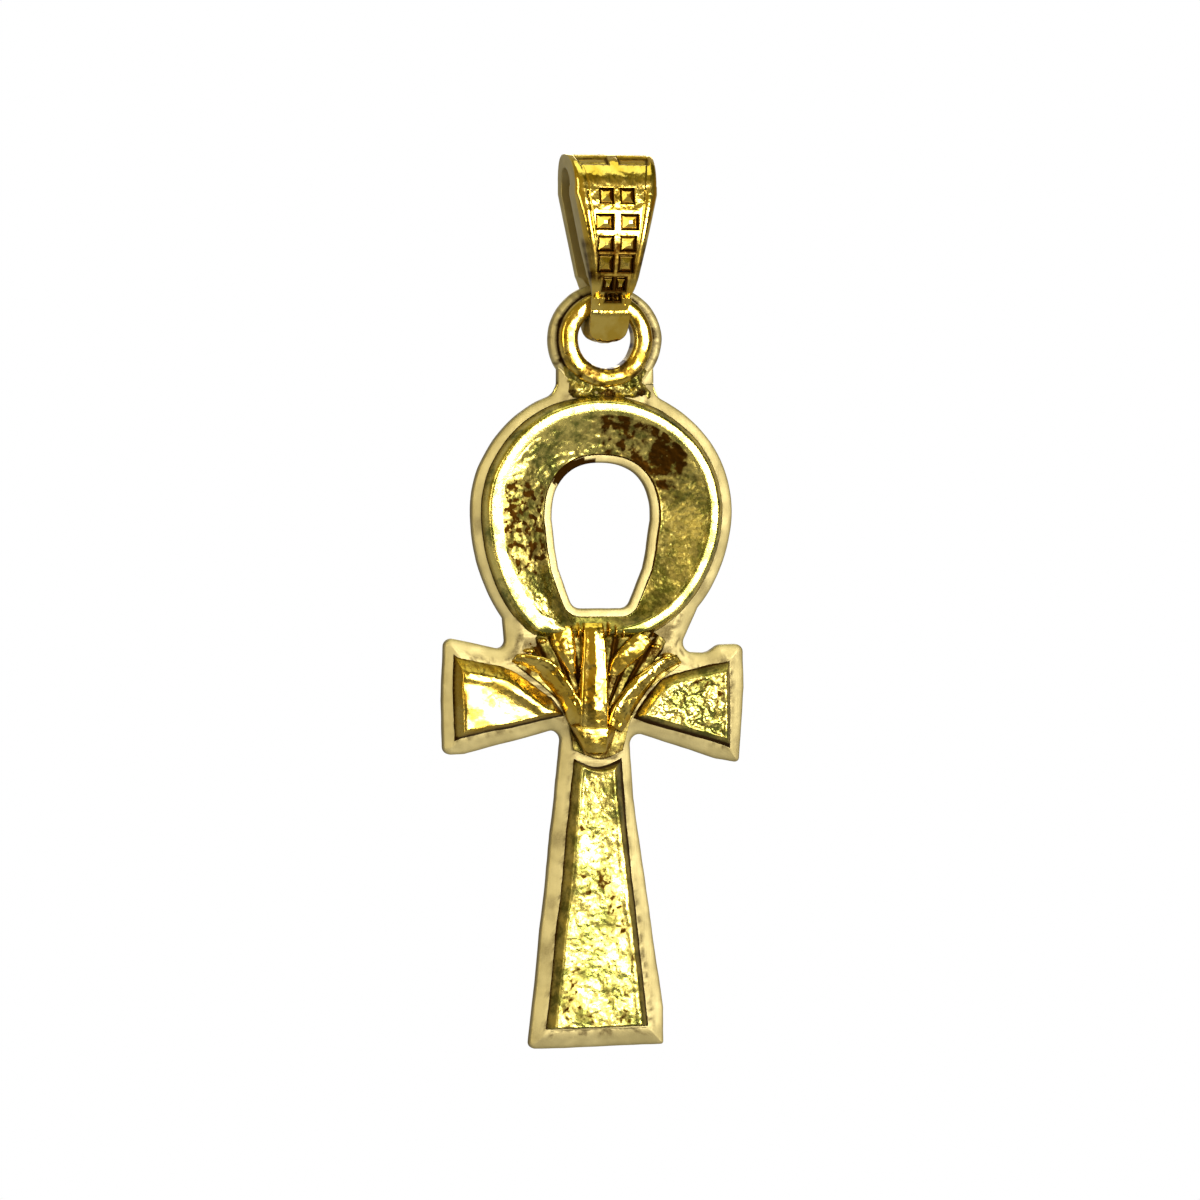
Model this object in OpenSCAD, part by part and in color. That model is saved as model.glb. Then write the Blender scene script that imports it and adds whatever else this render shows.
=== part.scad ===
// Ankh pendant with a raised lotus at the crossing, hanging from a folded bail.
// Millimetres, +Z up, front facing -Y. The origin is the inside top of the bail.
// Flat outlines are drawn in (x, z) and raised by a height h above the back face.

/* [Ankh] */
// half of the greatest width of the loop
loop_half_width = 5.97; // [5:0.01:7]
// height of the widest place of the loop, below the chain seat
loop_z = -15.3; // [-17:0.1:-14]
// rise of the loop above its widest place
loop_rise = 5.6; // [5:0.1:6.5]
// drop of the left side of the loop, as an ellipse half axis
loop_drop_left = 7.2; // [6:0.1:8]
// drop of the right side of the loop, as an ellipse half axis
loop_drop_right = 6.5; // [6:0.1:8]
// half of the greatest width of the hole in the loop
hole_half_width = 2.28; // [1.8:0.01:2.8]
// reach of the left arm from the middle
arm_left = 7.22; // [6:0.01:8]
// reach of the right arm from the middle
arm_right = 6.6; // [6:0.01:8]
// bottom of the stem, below the chain seat
foot_z = -39.4; // [-45:0.1:-35]
// half of the width of the stem at its foot
foot_half_width = 3.06; // [2.5:0.01:3.6]

/* [Relief] */
// height of the outer edge of the plate
edge_h = 0.55; // [0.4:0.01:0.8]
// height of the plate where its sloped rim ends
rim_h = 0.72; // [0.5:0.01:1]
// width of the sloped rim
rim = 0.6; // [0.4:0.01:0.8]
// height of the raised panels on the arms and the stem
panel_h = 1.22; // [0.9:0.01:1.6]
// run of the sloped wall round a panel
wall = 0.42; // [0.2:0.01:0.6]
// height of the bright ridge round the loop
ridge_h = 1.25; // [0.9:0.01:1.6]
// height of the middle petal of the lotus
petal_h = 1.6; // [1.3:0.01:2]

/* [Ring] */
// outer radius of the ring on top of the loop
ring_r = 2.5; // [2.2:0.01:2.8]
// radius of the hole in the ring
ring_hole = 1.28; // [1:0.01:1.6]
// height of the middle of the ring, below the chain seat
ring_z = -7.66; // [-8.5:0.01:-7]

/* [Bail] */
// turn of the bail on the ring, as it hangs
bail_turn = 6; // [-12:1:12]
// half width of the bail at its top
bail_top = 1.98; // [1.6:0.01:2.4]
// half width of the bail at the ring
bail_low = 0.98; // [0.8:0.01:1.1]
// lowest point of the bail, below the chain seat
tip_z = -7.82; // [-8.2:0.01:-7.4]
// half depth of the opening in the bail
opening = 0.85; // [0.75:0.01:1]
// rows of cells down the front of the bail
rows = 6; // [4:1:7]

/* [Hidden] */
$fn = 64;
gold = [0.80, 0.66, 0.28];
ring_h = 0.6;                    // height of the middle plane of the ring
wire = (ring_r + ring_hole) / 2; // radius of the ring to the middle of its wire
hinge_z = ring_z + wire;
corner_steps = 4;
ellipse_step = 6;

// flat outlines
function unit(v) = v / norm(v);
function ellipse(a, b, t) = [a * cos(t), loop_z + b * sin(t)];
function turned(v) = [v[1], -v[0]];

// points of one rounded corner b between a and c
function corner(a, b, c, r) =
    let (u = unit(a - b), v = unit(c - b), half = acos(u * v) / 2, reach = r / tan(half),
         m = b + unit(u + v) * r / sin(half), p = b + u * reach - m, q = b + v * reach - m,
         first = atan2(p[1], p[0]), swing = atan2(q[1], q[0]) - first,
         step = swing > 180 ? swing - 360 : swing < -180 ? swing + 360 : swing)
    [for (i = [0:corner_steps])
        m + r * [cos(first + step * i / corner_steps), sin(first + step * i / corner_steps)]];

function at(list, i) = list[(i + len(list)) % len(list)];
function flat(p) = [p[0], p[1]];

// list of [x, z, radius]; a radius of 0 keeps the point
function rounded(list) = [for (i = [0:len(list) - 1]) each
    list[i][2] == 0 ? [flat(list[i])]
        : corner(flat(at(list, i - 1)), flat(list[i]), flat(at(list, i + 1)), list[i][2])];

// the same list moved inwards by d, for a list that runs clockwise
function inset(list, d, tight = 0.12) = [for (i = [0:len(list) - 1])
    let (b = flat(list[i]), e1 = unit(b - flat(at(list, i - 1))),
         e2 = unit(flat(at(list, i + 1)) - b), n1 = turned(e1), n2 = turned(e2),
         convex = e1[0] * e2[1] - e1[1] * e2[0] < 0,
         p = b + d * (n1 + n2) / (1 + n1 * n2))
    [p[0], p[1], list[i][2] == 0 ? 0 : max(tight, list[i][2] + (convex ? -d : d))]];

loop_side = [for (t = [60:-ellipse_step:-42]) t];
plate_list = concat(
    [[-2.1, -8.6, 0], [2.1, -8.6, 0], [2.1, -10.05, 0.7]],
    [for (t = loop_side) let (p = ellipse(loop_half_width, t > 0 ? loop_rise
        : loop_drop_right, t)) [p[0], p[1], 0]],
    [[3.55, -21.6, 0.45], [4.9, -21.65, 0.7], [5.4, -21.28, 0.4],
     [arm_right - 0.05, -21.25, 0.35], [arm_right + 0.03, -23.2, 0],
     [arm_right - 0.15, -26.6, 0.25], [5.4, -26.42, 0], [1.35, -25.1, 0.45],
     [1.6, -28.2, 0], [foot_half_width, -37.6, 0],
     [foot_half_width + 0.02, foot_z + 0.35, 0.25], [-foot_half_width - 0.02, foot_z, 0.25],
     [-1.7, -25, 0.45], [-6.2, -26.2, 0], [-arm_left + 0.1, -26.24, 0.35],
     [-arm_left, -23.8, 0], [-arm_left + 0.08, -20.98, 0.35], [-4.3, -21.55, 0.35]],
    [for (i = [len(loop_side) - 1:-1:0]) let (t = loop_side[i],
        p = ellipse(loop_half_width, t > 0 ? loop_rise : loop_drop_left, t)) [-p[0], p[1], 0]],
    [[-2.1, -10.05, 0.7]]);

// hole of the loop: its top, foot and widest level; the upper part is a squared-off half ellipse
hole_top = -13.17;
hole_foot = -19.68;
hole_wide = -15.7;
hole_steps = 9;
hole_side = concat(
    [for (i = [0:hole_steps]) let (t = 90 - 90 * i / hole_steps)
        [hole_half_width * pow(cos(t), 0.83), hole_wide
            + (hole_top - hole_wide) * pow(sin(t), 0.83), 0]],
    [[2.12, -17, 0], [1.95, -17.9, 0], [1.25, hole_foot, 0.55]]);
hole_list = concat([for (i = [1:len(hole_side) - 1]) hole_side[i]],
    [for (i = [len(hole_side) - 1:-1:0]) let (p = hole_side[i]) [-p[0], p[1], p[2]]]);

// Rings have equal counts and run clockwise; each one has a height.
// A solid from convex rings, one above the other.
module stack(rings, heights) {
    n = len(rings[0]);
    last = len(rings) - 1;
    polyhedron(
        points = [for (k = [0:last]) for (p = rings[k]) [p[0], p[1], heights[k]]],
        faces = concat(
            [[for (i = [n - 1:-1:0]) i]],
            [[for (i = [0:n - 1]) last * n + i]],
            [for (k = [0:last - 1]) for (i = [0:n - 1]) each
                [[k * n + i, k * n + (i + 1) % n, (k + 1) * n + i],
                 [k * n + (i + 1) % n, (k + 1) * n + (i + 1) % n, (k + 1) * n + i]]]),
        convexity = 10);
}

// A closed band: the rings are the corners of its section, from the outer foot over the top.
module band(rings, heights) {
    n = len(rings[0]);
    m = len(rings);
    polyhedron(
        points = [for (k = [0:m - 1]) for (p = rings[k]) [p[0], p[1], heights[k]]],
        faces = [for (k = [0:m - 1]) for (i = [0:n - 1])
            let (a = k * n + i, b = k * n + (i + 1) % n, c = ((k + 1) % m) * n + i,
                d = ((k + 1) % m) * n + (i + 1) % n) each [[a, b, c], [b, d, c]]],
        convexity = 10);
}

// turns the flat drawing upright, with the middle plane of the ring at y = 0
module upright() translate([0, ring_h, 0]) rotate([90, 0, 0]) children();

module slab(list, h) linear_extrude(h) polygon(rounded(list));

module plate() {
    slope = rim * 0.8;
    inner = rounded(inset(plate_list, slope));
    difference() {
        union() {
            slab(plate_list, edge_h);
            slab(inset(plate_list, slope - 0.05), rim_h - 0.03);
            band([rounded(inset(plate_list, 0.03)), inner, inner], [edge_h - 0.03, rim_h, 0.3]);
        }
        translate([0, 0, -1]) slab(hole_list, 4);
    }
}

// wall, ridge and sloping dish of the loop, between its outline and its hole
module loop_relief() {
    turns = [for (t = [270 - ellipse_step:-ellipse_step:-90]) t];
    function outer(t, d) = let (left = cos(t) < 0,
        b = sin(t) > 0 ? loop_rise : left ? loop_drop_left : loop_drop_right)
        [(loop_half_width - d) * cos(t), loop_z + (b - d) * sin(t)];
    function inner(t, d) = let (up = sin(t) > 0,
        b = up ? hole_top - hole_wide : hole_wide - hole_foot)
        [(hole_half_width + d) * cos(t) * (up ? 1 : 1 - 0.16 * pow(sin(t), 2)),
         hole_wide + (b + d) * sin(t)];
    band(concat([for (d = [0.45, 0.45, 0.72, 0.9, 1.1]) [for (t = turns) outer(t, d)]],
            [for (d = [0.45, 0.45]) [for (t = turns) inner(t, d)]]),
        [0.25, rim_h - 0.1, ridge_h - 0.1, ridge_h, ridge_h - 0.06, 0.5, 0.25]);
}

module panel(list) {
    stack([rounded(list), rounded(list), rounded(inset(list, wall))],
        [0.3, rim_h - 0.05, panel_h]);
}

arm_left_panel = [[-arm_left + 0.45, -21.75, 0], [-3.95, -22.3, 0], [-2.9, -23.05, 0],
    [-1.9, -24.4, 0], [-arm_left + 0.5, -25.65, 0]];
arm_right_panel = [[1.7, -24.5, 0], [2.4, -23.3, 0], [3.5, -22.6, 0],
    [arm_right - 0.65, -22, 0], [arm_right - 0.65, -25.95, 0]];
stem_panel = [[-1.22, -26.2, 0], [1, -26.2, 0], [foot_half_width - 0.64, foot_z + 0.95, 0],
    [-foot_half_width + 0.64, foot_z + 0.95, 0]];

// One petal: a ridge line from the root to the tip, between two low edges.
module petal(root, tip, width, foot, high, lift = 0.75) {
    low = foot + 0.45;
    along = unit(tip - root);
    side = turned(along) * width / 2;
    belly = root + (tip - root) * 0.6;
    base = [root + side * 0.5, belly + side, tip, belly - side, root - side * 0.5];
    top = [root, belly, tip];
    polyhedron(
        points = concat([for (p = base) [p[0], p[1], foot]], [for (p = base) [p[0], p[1], low]],
            [[root[0], root[1], high], [belly[0], belly[1], high],
             [tip[0], tip[1], low + (high - low) * lift]]),
        faces = concat([[0, 1, 2, 3, 4]],
            [for (i = [0:4]) [i, 5 + i, 5 + (i + 1) % 5, (i + 1) % 5]],
            [[5, 10, 11], [5, 11, 6], [6, 11, 12], [6, 12, 7], [7, 12, 8], [8, 12, 11],
             [8, 11, 9], [9, 11, 10], [5, 9, 10]]),
        convexity = 6);
}

module lotus() {
    cup = [[-1.5, -24.8, 0], [0.65, -24.8, 0], [0.3, -26.1, 0], [-0.9, -26.1, 0]];
    heart = [[-2.6, -21, 0], [-2, -20.2, 0], [2, -20.2, 0], [2.7, -21, 0], [1, -25, 0],
        [-1.4, -25, 0]];
    stack([rounded(heart), rounded(heart), rounded(inset(heart, 0.3))],
        [0.1, rim_h + 0.02, panel_h - 0.05]);
    stack([rounded(cup), rounded(cup), rounded(inset(cup, 0.25))],
        [0.14, rim_h + 0.05, panel_h + 0.15]);
    petal([-0.45, -25], [-4.3, -21.6], 1.1, 0.18, panel_h + 0.15, 0.3);
    petal([0.02, -25.02], [3.75, -21.7], 1.12, 0.22, panel_h + 0.17, 0.32);
    petal([-0.4, -24.95], [-1.9, -20.5], 1.2, 0.26, panel_h + 0.22);
    petal([0.05, -24.93], [1.4, -20.52], 1.22, 0.3, panel_h + 0.24);
    petal([-0.35, -25.2], [-0.45, -20.3], 1.25, 0.34, petal_h);
}

module eye() translate([0, ring_z, 0]) rotate_extrude() polygon(rounded(
    [[ring_hole, 0, 0.3], [ring_hole, 1.2, 0.4], [ring_r - 0.38, 1.2, 0.4],
     [ring_r - 0.38, rim_h, 0], [ring_r, edge_h, 0], [ring_r, 0, 0.3]]));

module ankh() color(gold) upright() {
    difference() {
        union() {
            plate();
            loop_relief();
            panel(arm_left_panel);
            panel(arm_right_panel);
            panel(stem_panel);
            lotus();
            translate([0, ring_z - ring_r - 0.1, 0.1]) cylinder(r = 1.5, h = 0.8);
        }
        translate([0, ring_z, -1]) cylinder(r = ring_hole + 0.6, h = 4);
    }
    eye();
}

// bail
front_top = 1.95;  // depth of the raised front, ahead of the hinge
front_low = 1.75;
edge_top = 0.98;   // depth of the edge of the front leaf
back_top = 1.35;
back_low = 1.15;

// half width of the bail at height z
function half_width(z) = bail_low + (bail_top - bail_low) * min(1, (z - hinge_z)
    / (-1.2 - hinge_z));

// profile along the depth, front to the left
strap = [[-1.18, 0.6, 0.8], [back_top, 0.6, 1.2], [back_low, hinge_z - 0.7, 0.7],
    [0.4, tip_z, 0.35], [-0.5, tip_z, 0.4], [-1.08, hinge_z - 0.8, 0.8]];

// outline seen from the front
taper = [[-bail_top, 1, 0], [bail_top, 1, 0], [bail_top, -1, 3], [bail_low, hinge_z, 3],
    [0.84, tip_z + 0.7, 0.3], [0.45, tip_z, 0.3], [-0.45, tip_z, 0.3],
    [-0.84, tip_z + 0.7, 0.3], [-bail_low, hinge_z, 3], [-bail_top, -1, 3]];

module through_side() rotate([90, 0, 90]) linear_extrude(6, center = true) children();

// the swept space of the ring's wire, for every swing
module ring_room() rotate([0, 90, 0]) rotate_extrude() difference() {
    translate([0, -1.2]) square([1.22, 2.4]);
    translate([opening - 0.07 + ring_hole, 0]) circle(ring_hole);
}

module pillow() {
    f = function (z) half_width(z) - 0.34;
    stations = [[0.1, front_top - 0.15], [-0.6, front_top], [-3, front_top],
        [-5.2, front_low], [-5.6, front_low - 0.15]];
    n = len(stations);
    polyhedron(
        points = concat(
            [for (s = stations) each [[-half_width(s[0]) + 0.02, -edge_top, s[0]],
                [-f(s[0]), -s[1], s[0]], [f(s[0]), -s[1], s[0]],
                [half_width(s[0]) - 0.02, -edge_top, s[0]]]],
            [[-0.6, -edge_top, -6.15], [-0.4, -edge_top - 0.1, -6.15],
             [0.4, -edge_top - 0.1, -6.15], [0.6, -edge_top, -6.15]]),
        faces = concat([[3, 2, 1, 0]], [[for (i = [0:3]) n * 4 + i]],
            [for (k = [0:n - 1]) for (i = [0:3]) let (a = k * 4 + i, b = k * 4 + (i + 1) % 4)
                each [[a, b, a + 4], [b, b + 4, a + 4]]]),
        convexity = 6);
}

module cells() {
    pitch = 1.15;
    shrink = 0.88;
    for (k = [0:rows - 1], s = [-1, 1]) {
        z = -1.26 - pitch * (1 - pow(shrink, k)) / (1 - shrink);
        w = (half_width(z) - 0.34) * 0.62;
        h = 0.56 * pow(shrink, k);
        translate([s * (w / 2 + 0.1), -front_low, z]) difference() {
            cube([w, 0.6, h], center = true);
            translate([0, 0.3, 0]) rotate([90, 45, 0])
                cylinder(r1 = h * 0.66, r2 = 0.08, h = 0.45, $fn = 4);
        }
    }
}

module bail() color(gold) {
    difference() {
        rotate([0, 0, bail_turn]) difference() {
            union() {
                intersection() {
                    through_side() polygon(rounded(strap));
                    rotate([90, 0, 0]) linear_extrude(8, center = true)
                        polygon(rounded(taper));
                }
                pillow();
            }
            cells();
            through_side() polygon(rounded([[-opening, 0, opening - 0.02],
                [opening, 0, opening - 0.02], [opening, hinge_z, 0], [-opening, hinge_z, 0]]));
        }
        translate([0, 0, hinge_z]) {
            rotate([0, 90, 0]) cylinder(r = opening - 0.07, h = 4, center = true);
            ring_room();
        }
    }
}

ankh();
bail();
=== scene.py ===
# Ankh pendant with a lotus at its crossing, on a bail with two columns of sunk cells.
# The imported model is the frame; every piece below stands for a node of it, in metres.
# Flat drawings are in millimetres: x to the right, z up, and a height h above the back.
import math

import bmesh
import bpy
import numpy as np
from mathutils import Matrix, Vector
from mathutils.geometry import tessellate_polygon


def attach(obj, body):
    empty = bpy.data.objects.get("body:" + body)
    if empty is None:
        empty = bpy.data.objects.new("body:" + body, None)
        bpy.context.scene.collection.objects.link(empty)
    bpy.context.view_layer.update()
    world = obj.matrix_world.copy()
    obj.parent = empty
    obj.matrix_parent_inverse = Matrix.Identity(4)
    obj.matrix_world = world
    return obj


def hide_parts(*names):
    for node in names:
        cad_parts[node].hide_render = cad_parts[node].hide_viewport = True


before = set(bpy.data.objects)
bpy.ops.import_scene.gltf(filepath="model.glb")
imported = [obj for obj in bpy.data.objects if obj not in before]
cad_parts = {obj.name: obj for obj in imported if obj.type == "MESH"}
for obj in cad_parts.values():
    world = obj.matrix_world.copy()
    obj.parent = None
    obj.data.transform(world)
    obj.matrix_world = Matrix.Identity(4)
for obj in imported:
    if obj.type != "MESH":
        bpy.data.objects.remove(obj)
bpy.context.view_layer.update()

bl_info = {
    "name": "Ankh pendant",
    "version": (1, 0, 0),
    "blender": (4, 5, 0),
    "location": "View3D > Sidebar > Pendant",
    "description": "Builds a cast gold ankh pendant with a lotus and a cell-patterned bail",
    "category": "Object",
}

MM = 0.001
RING_H = 0.6                          # height of the middle plane of the ring, at y = 0
RING_Z = -7.66                        # middle of the ring
WIRE_OUTSIDE = 2.14                   # outer radius of the wire on the ring
HINGE_Z = -5.77                       # axis on which the ring swings
BEND_Z = -0.85                        # middle of the bail's bend over the chain
DISH_STEPS = 52                       # rows of the dish, from its ridge to the hole
LOOP_Z = -15.3                        # widest place of the loop
RELIEF_FOOT = 0.6                     # height at which the lotus meets the plate
FLOOR_H = 0.3                         # underside of the relief, inside the plate
BAIL_TURN = math.radians(4)           # turn of the bail on the ring, as it hangs
DISH_CENTRE = np.array([0.0, -16.2])  # middle of the rays that the dish is laid out on


def linear(code):
    """sRGB hex colour as linear red, green and blue."""
    parts = [int(code[i:i + 2], 16) / 255 for i in (1, 3, 5)]
    return tuple(c / 12.92 if c <= 0.04045 else ((c + 0.055) / 1.055) ** 2.4 for c in parts)


# Settings

def length(name, text, default):
    """A length in metres for the settings."""
    return bpy.props.FloatProperty(name=name, description=text, default=default,
                                   subtype="DISTANCE", unit="LENGTH", precision=5)


def colour(name, text, code):
    """A colour for the settings, from its sRGB hex code."""
    return bpy.props.FloatVectorProperty(name=name, description=text, default=linear(code),
                                         subtype="COLOR", size=3, min=0, max=1)


class PendantSettings(bpy.types.PropertyGroup):
    """Sizes and colours of the pendant."""
    loop_half_width: length("Loop half width", "Half of the width of the loop", 0.00597)
    loop_rise: length("Loop rise", "Rise of the loop above its widest place", 0.0056)
    drop_left: length("Left drop", "Half axis of the left side of the loop, downwards", 0.0072)
    drop_right: length("Right drop", "Half axis of the right side of the loop, downwards", 0.0065)
    hole_half_width: length("Hole half width", "Half of the width of the hole", 0.00228)
    arm_left: length("Left arm", "Reach of the left arm from the middle", 0.00722)
    arm_right: length("Right arm", "Reach of the right arm from the middle", 0.0066)
    foot_depth: length("Foot", "Distance of the foot below the chain", 0.0394)
    foot_half_width: length("Foot half width", "Half of the width of the foot", 0.00306)
    edge_height: length("Edge height", "Height of the outer edge of the plate", 0.00055)
    panel_height: length("Panel height", "Height of the raised panels", 0.00122)
    ridge_height: length("Ridge height", "Height of the ridge round the loop", 0.00125)
    petal_height: length("Petal height", "Height of the middle petal", 0.0016)
    ring_radius: length("Ring radius", "Outer radius of the ring", 0.0025)
    ring_hole: length("Ring hole", "Radius of the hole in the ring", 0.00128)
    bail_half_width: length("Bail half width", "Half of the width of the bail at its top", 0.00198)
    cell_rows: bpy.props.IntProperty(name="Cell rows", default=6, min=2, max=6,
                                     description="Rows of cells down the front of the bail")
    hammer_depth: length("Hammering", "Depth of the dimples of the textured panels", 0.00003)
    polished: colour("Polished gold", "Colour of the polished gold", "#DFC05C")
    satin: colour("Satin gold", "Colour of the pale satin rim", "#C6B67E")
    # the colour that dirt and painted shade darken the metal towards
    tarnish_and_shade: colour("Tarnish", "Colour of the dirt in the recesses", "#3A2204")


def mm(value):
    """Metres to millimetres."""
    return value / MM


# Numbers over a surface

def scatter(i, j, seed):
    """A fixed random number from 0 to 1 for each lattice point."""
    n = (i * 374761393 + j * 668265263 + seed * 1274126177) & 0xFFFFFFFF
    n = ((n ^ (n >> 13)) * 1274126177) & 0xFFFFFFFF
    return ((n ^ (n >> 16)) & 0xFFFFFF) / 0xFFFFFF


def grain(x, z, size, seed):
    """Smooth noise from -1 to 1 with lumps of about the given size in mm."""
    turn = 0.6 + seed * 1.7
    u = (x * math.cos(turn) - z * math.sin(turn)) / size
    v = (x * math.sin(turn) + z * math.cos(turn)) / size
    i, j = np.floor(u).astype(np.int64), np.floor(v).astype(np.int64)
    f, g = u - i, v - j
    f, g = f * f * (3 - 2 * f), g * g * (3 - 2 * g)
    low = scatter(i, j, seed) * (1 - f) + scatter(i + 1, j, seed) * f
    high = scatter(i, j + 1, seed) * (1 - f) + scatter(i + 1, j + 1, seed) * f
    return 2 * (low * (1 - g) + high * g) - 1


def rough(x, z, size, seed, octaves=3):
    """Noise with finer and fainter lumps on top of the large ones."""
    return sum(grain(x, z, size / 1.9 ** k, seed + k) * 0.55 ** k for k in range(octaves))


def dimples(x, z, size, seed):
    """Shallow round dimples with sharp rims between them, from 0 in the middle to about 1."""
    u, v = x / size, z / size
    i, j = np.floor(u).astype(np.int64), np.floor(v).astype(np.int64)
    near = np.full(x.shape, 9.0)
    for a in (-1, 0, 1):
        for b in (-1, 0, 1):
            p = i + a + 0.15 + 0.7 * scatter(i + a, j + b, seed)
            q = j + b + 0.15 + 0.7 * scatter(i + a, j + b, seed + 11)
            near = np.minimum(near, (u - p) ** 2 + (v - q) ** 2)
    return near


def step(low, high, value):
    """Smooth rise from 0 at low to 1 at high; low may be the larger one."""
    t = np.clip((value - low) / (high - low), 0, 1)
    return t * t * (3 - 2 * t)


def spline(points, count):
    """Smooth line through the points, along the first axis."""
    p = np.asarray(points, float)
    p = np.concatenate([2 * p[:1] - p[1:2], p, 2 * p[-1:] - p[-2:-1]])
    t = np.linspace(0, len(p) - 3, count)
    k = np.minimum(t.astype(int), len(p) - 4)
    f = (t - k).reshape((-1,) + (1,) * (p.ndim - 1))
    a, b, c, d = p[k], p[k + 1], p[k + 2], p[k + 3]
    return 0.5 * (2 * b + (c - a) * f + (2 * a - 5 * b + 4 * c - d) * f ** 2
                  + (3 * b - 3 * c + d - a) * f ** 3)


def net_surface(net, rows, columns):
    """Smooth surface through a net of points."""
    return np.swapaxes(spline(np.swapaxes(spline(net, rows), 0, 1), columns), 0, 1)


# Flat outlines

def unit(v):
    """A flat vector made one long."""
    return v / np.hypot(*v)


def ring_of(outline, d, spacing, fewest=0.04):
    """Points along the outline moved inwards by d; every d gives the same count."""
    n = len(outline)
    flat = np.array([p[:2] for p in outline], float)
    moved, radii = [], []
    for i in range(n):
        e1, e2 = unit(flat[i] - flat[i - 1]), unit(flat[(i + 1) % n] - flat[i])
        n1, n2 = np.array([e1[1], -e1[0]]), np.array([e2[1], -e2[0]])
        convex = e1[0] * e2[1] - e1[1] * e2[0] < 0
        moved.append(flat[i] + d * (n1 + n2) / (1 + n1 @ n2))
        r = outline[i][2]
        radii.append(0 if r == 0 else max(fewest, r + (-d if convex else d)))
    corners = []
    for i in range(n):
        b = moved[i]
        if radii[i] == 0:
            corners.append([b])
            continue
        u, v = unit(moved[i - 1] - b), unit(moved[(i + 1) % n] - b)
        half = math.acos(max(-1, min(1, u @ v))) / 2
        m = b + unit(u + v) * radii[i] / math.sin(half)
        p, q = b + u * radii[i] / math.tan(half) - m, b + v * radii[i] / math.tan(half) - m
        first = math.atan2(p[1], p[0])
        swing = (math.atan2(q[1], q[0]) - first + math.pi) % (2 * math.pi) - math.pi
        corners.append([m + radii[i] * np.array([math.cos(first + swing * k / 8),
                                                 math.sin(first + swing * k / 8)])
                        for k in range(9)])
    points = []
    for i in range(n):
        points += corners[i]
        gap = np.hypot(*(flat[(i + 1) % n] - flat[i]))
        count = max(1, round(gap / spacing))
        a, b = corners[i][-1], corners[(i + 1) % n][0]
        points += [a + (b - a) * k / count for k in range(1, count)]
    return np.array(points)


def loop_point(s, t, d):
    """Point of the loop's outline at the angle t in degrees, moved inwards by d."""
    c, e = math.cos(math.radians(t)), math.sin(math.radians(t))
    share = step(-0.25, 0.25, c)
    drop = mm(s.drop_left) * (1 - share) + mm(s.drop_right) * share
    height = mm(s.loop_rise) if e > 0 else drop
    return (mm(s.loop_half_width) - d) * c, LOOP_Z + (height - d) * e


def plate_outline(s):
    """Outline of the plate as (x, z, corner radius), clockwise from the ring's neck."""
    left, right = mm(s.arm_left), mm(s.arm_right)
    foot, half = -mm(s.foot_depth), mm(s.foot_half_width)
    # the loop's sides, in degrees from the neck down to the arms
    sweep = range(60, -43, -2)
    side = [(*loop_point(s, t, 0), 0) for t in sweep]
    other = [(*loop_point(s, 180 - t, 0), 0) for t in reversed(sweep)]
    return ([(-2.1, -8.85, 0), (-1.2, -9.2, 0), (1.2, -9.2, 0), (2.3, -8.85, 0),
             (2.3, -10.1, 0.7)] + side
            + [(3.55, -21.6, 0.45), (4.9, -21.65, 0.7), (5.4, -21.28, 0.4),
               (right - 0.05, -21.25, 0.35), (right + 0.03, -23.2, 0),
               (right - 0.15, -26.6, 0.2), (5.4, -26.42, 0), (1.35, -25.1, 0.45),
               (1.6, -28.2, 0), (half, -37.6, 0), (half + 0.04, foot + 0.17, 0.12),
               (-half - 0.02, foot, 0.25), (-1.7, -25, 0.45), (-6.2, -26.2, 0),
               (-left + 0.1, -26.24, 0.35), (-left, -23.8, 0), (-left + 0.08, -20.98, 0.35),
               (-4.3, -21.55, 0.35)]
            + other + [(-2.1, -10.05, 0.7)])


def hole_outline(s):
    """Outline of the egg-shaped hole: a full top and straight sides down to a short foot."""
    top, wide, foot = -13.17, -15.7, -19.68
    side = []
    for k in range(23):
        t = math.radians(90 * (1 - k / 22))
        side.append((mm(s.hole_half_width) * math.cos(t) ** 0.83,
                     wide + (top - wide) * math.sin(t) ** 0.83, 0))
    side += [(2.12, -17, 0), (1.95, -17.9, 0), (1.25, foot, 0.5)]
    return side[1:] + [(-x, z, r) for x, z, r in reversed(side)]


# Meshes

def wobble(p):
    """The slight unevenness of a worn casting, the same for every piece of the ankh."""
    x, z = p[..., 0], p[..., 1]
    q = p.copy()
    q[..., 0] += 0.022 * grain(x, z, 1.6, 3) + 0.008 * grain(x, z, 0.5, 5)
    q[..., 1] += 0.022 * grain(x, z, 1.6, 4) + 0.008 * grain(x, z, 0.5, 6)
    return q


def upright(p):
    """(x, z, h) in mm to metres in the frame."""
    return np.stack([p[..., 0], RING_H - p[..., 2], p[..., 1]], -1) * MM


def grid_faces(rows, columns, wrap_rows, wrap_columns, first=0):
    """Four-sided faces between the points of a grid, closed on itself where it wraps."""
    i = np.arange(rows if wrap_rows else rows - 1)[:, None]
    j = np.arange(columns if wrap_columns else columns - 1)[None, :]
    k, m = (i + 1) % rows, (j + 1) % columns
    quads = np.stack([i * columns + j, k * columns + j, k * columns + m, i * columns + m], -1)
    return (quads.reshape(-1, 4) + first).tolist()


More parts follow.
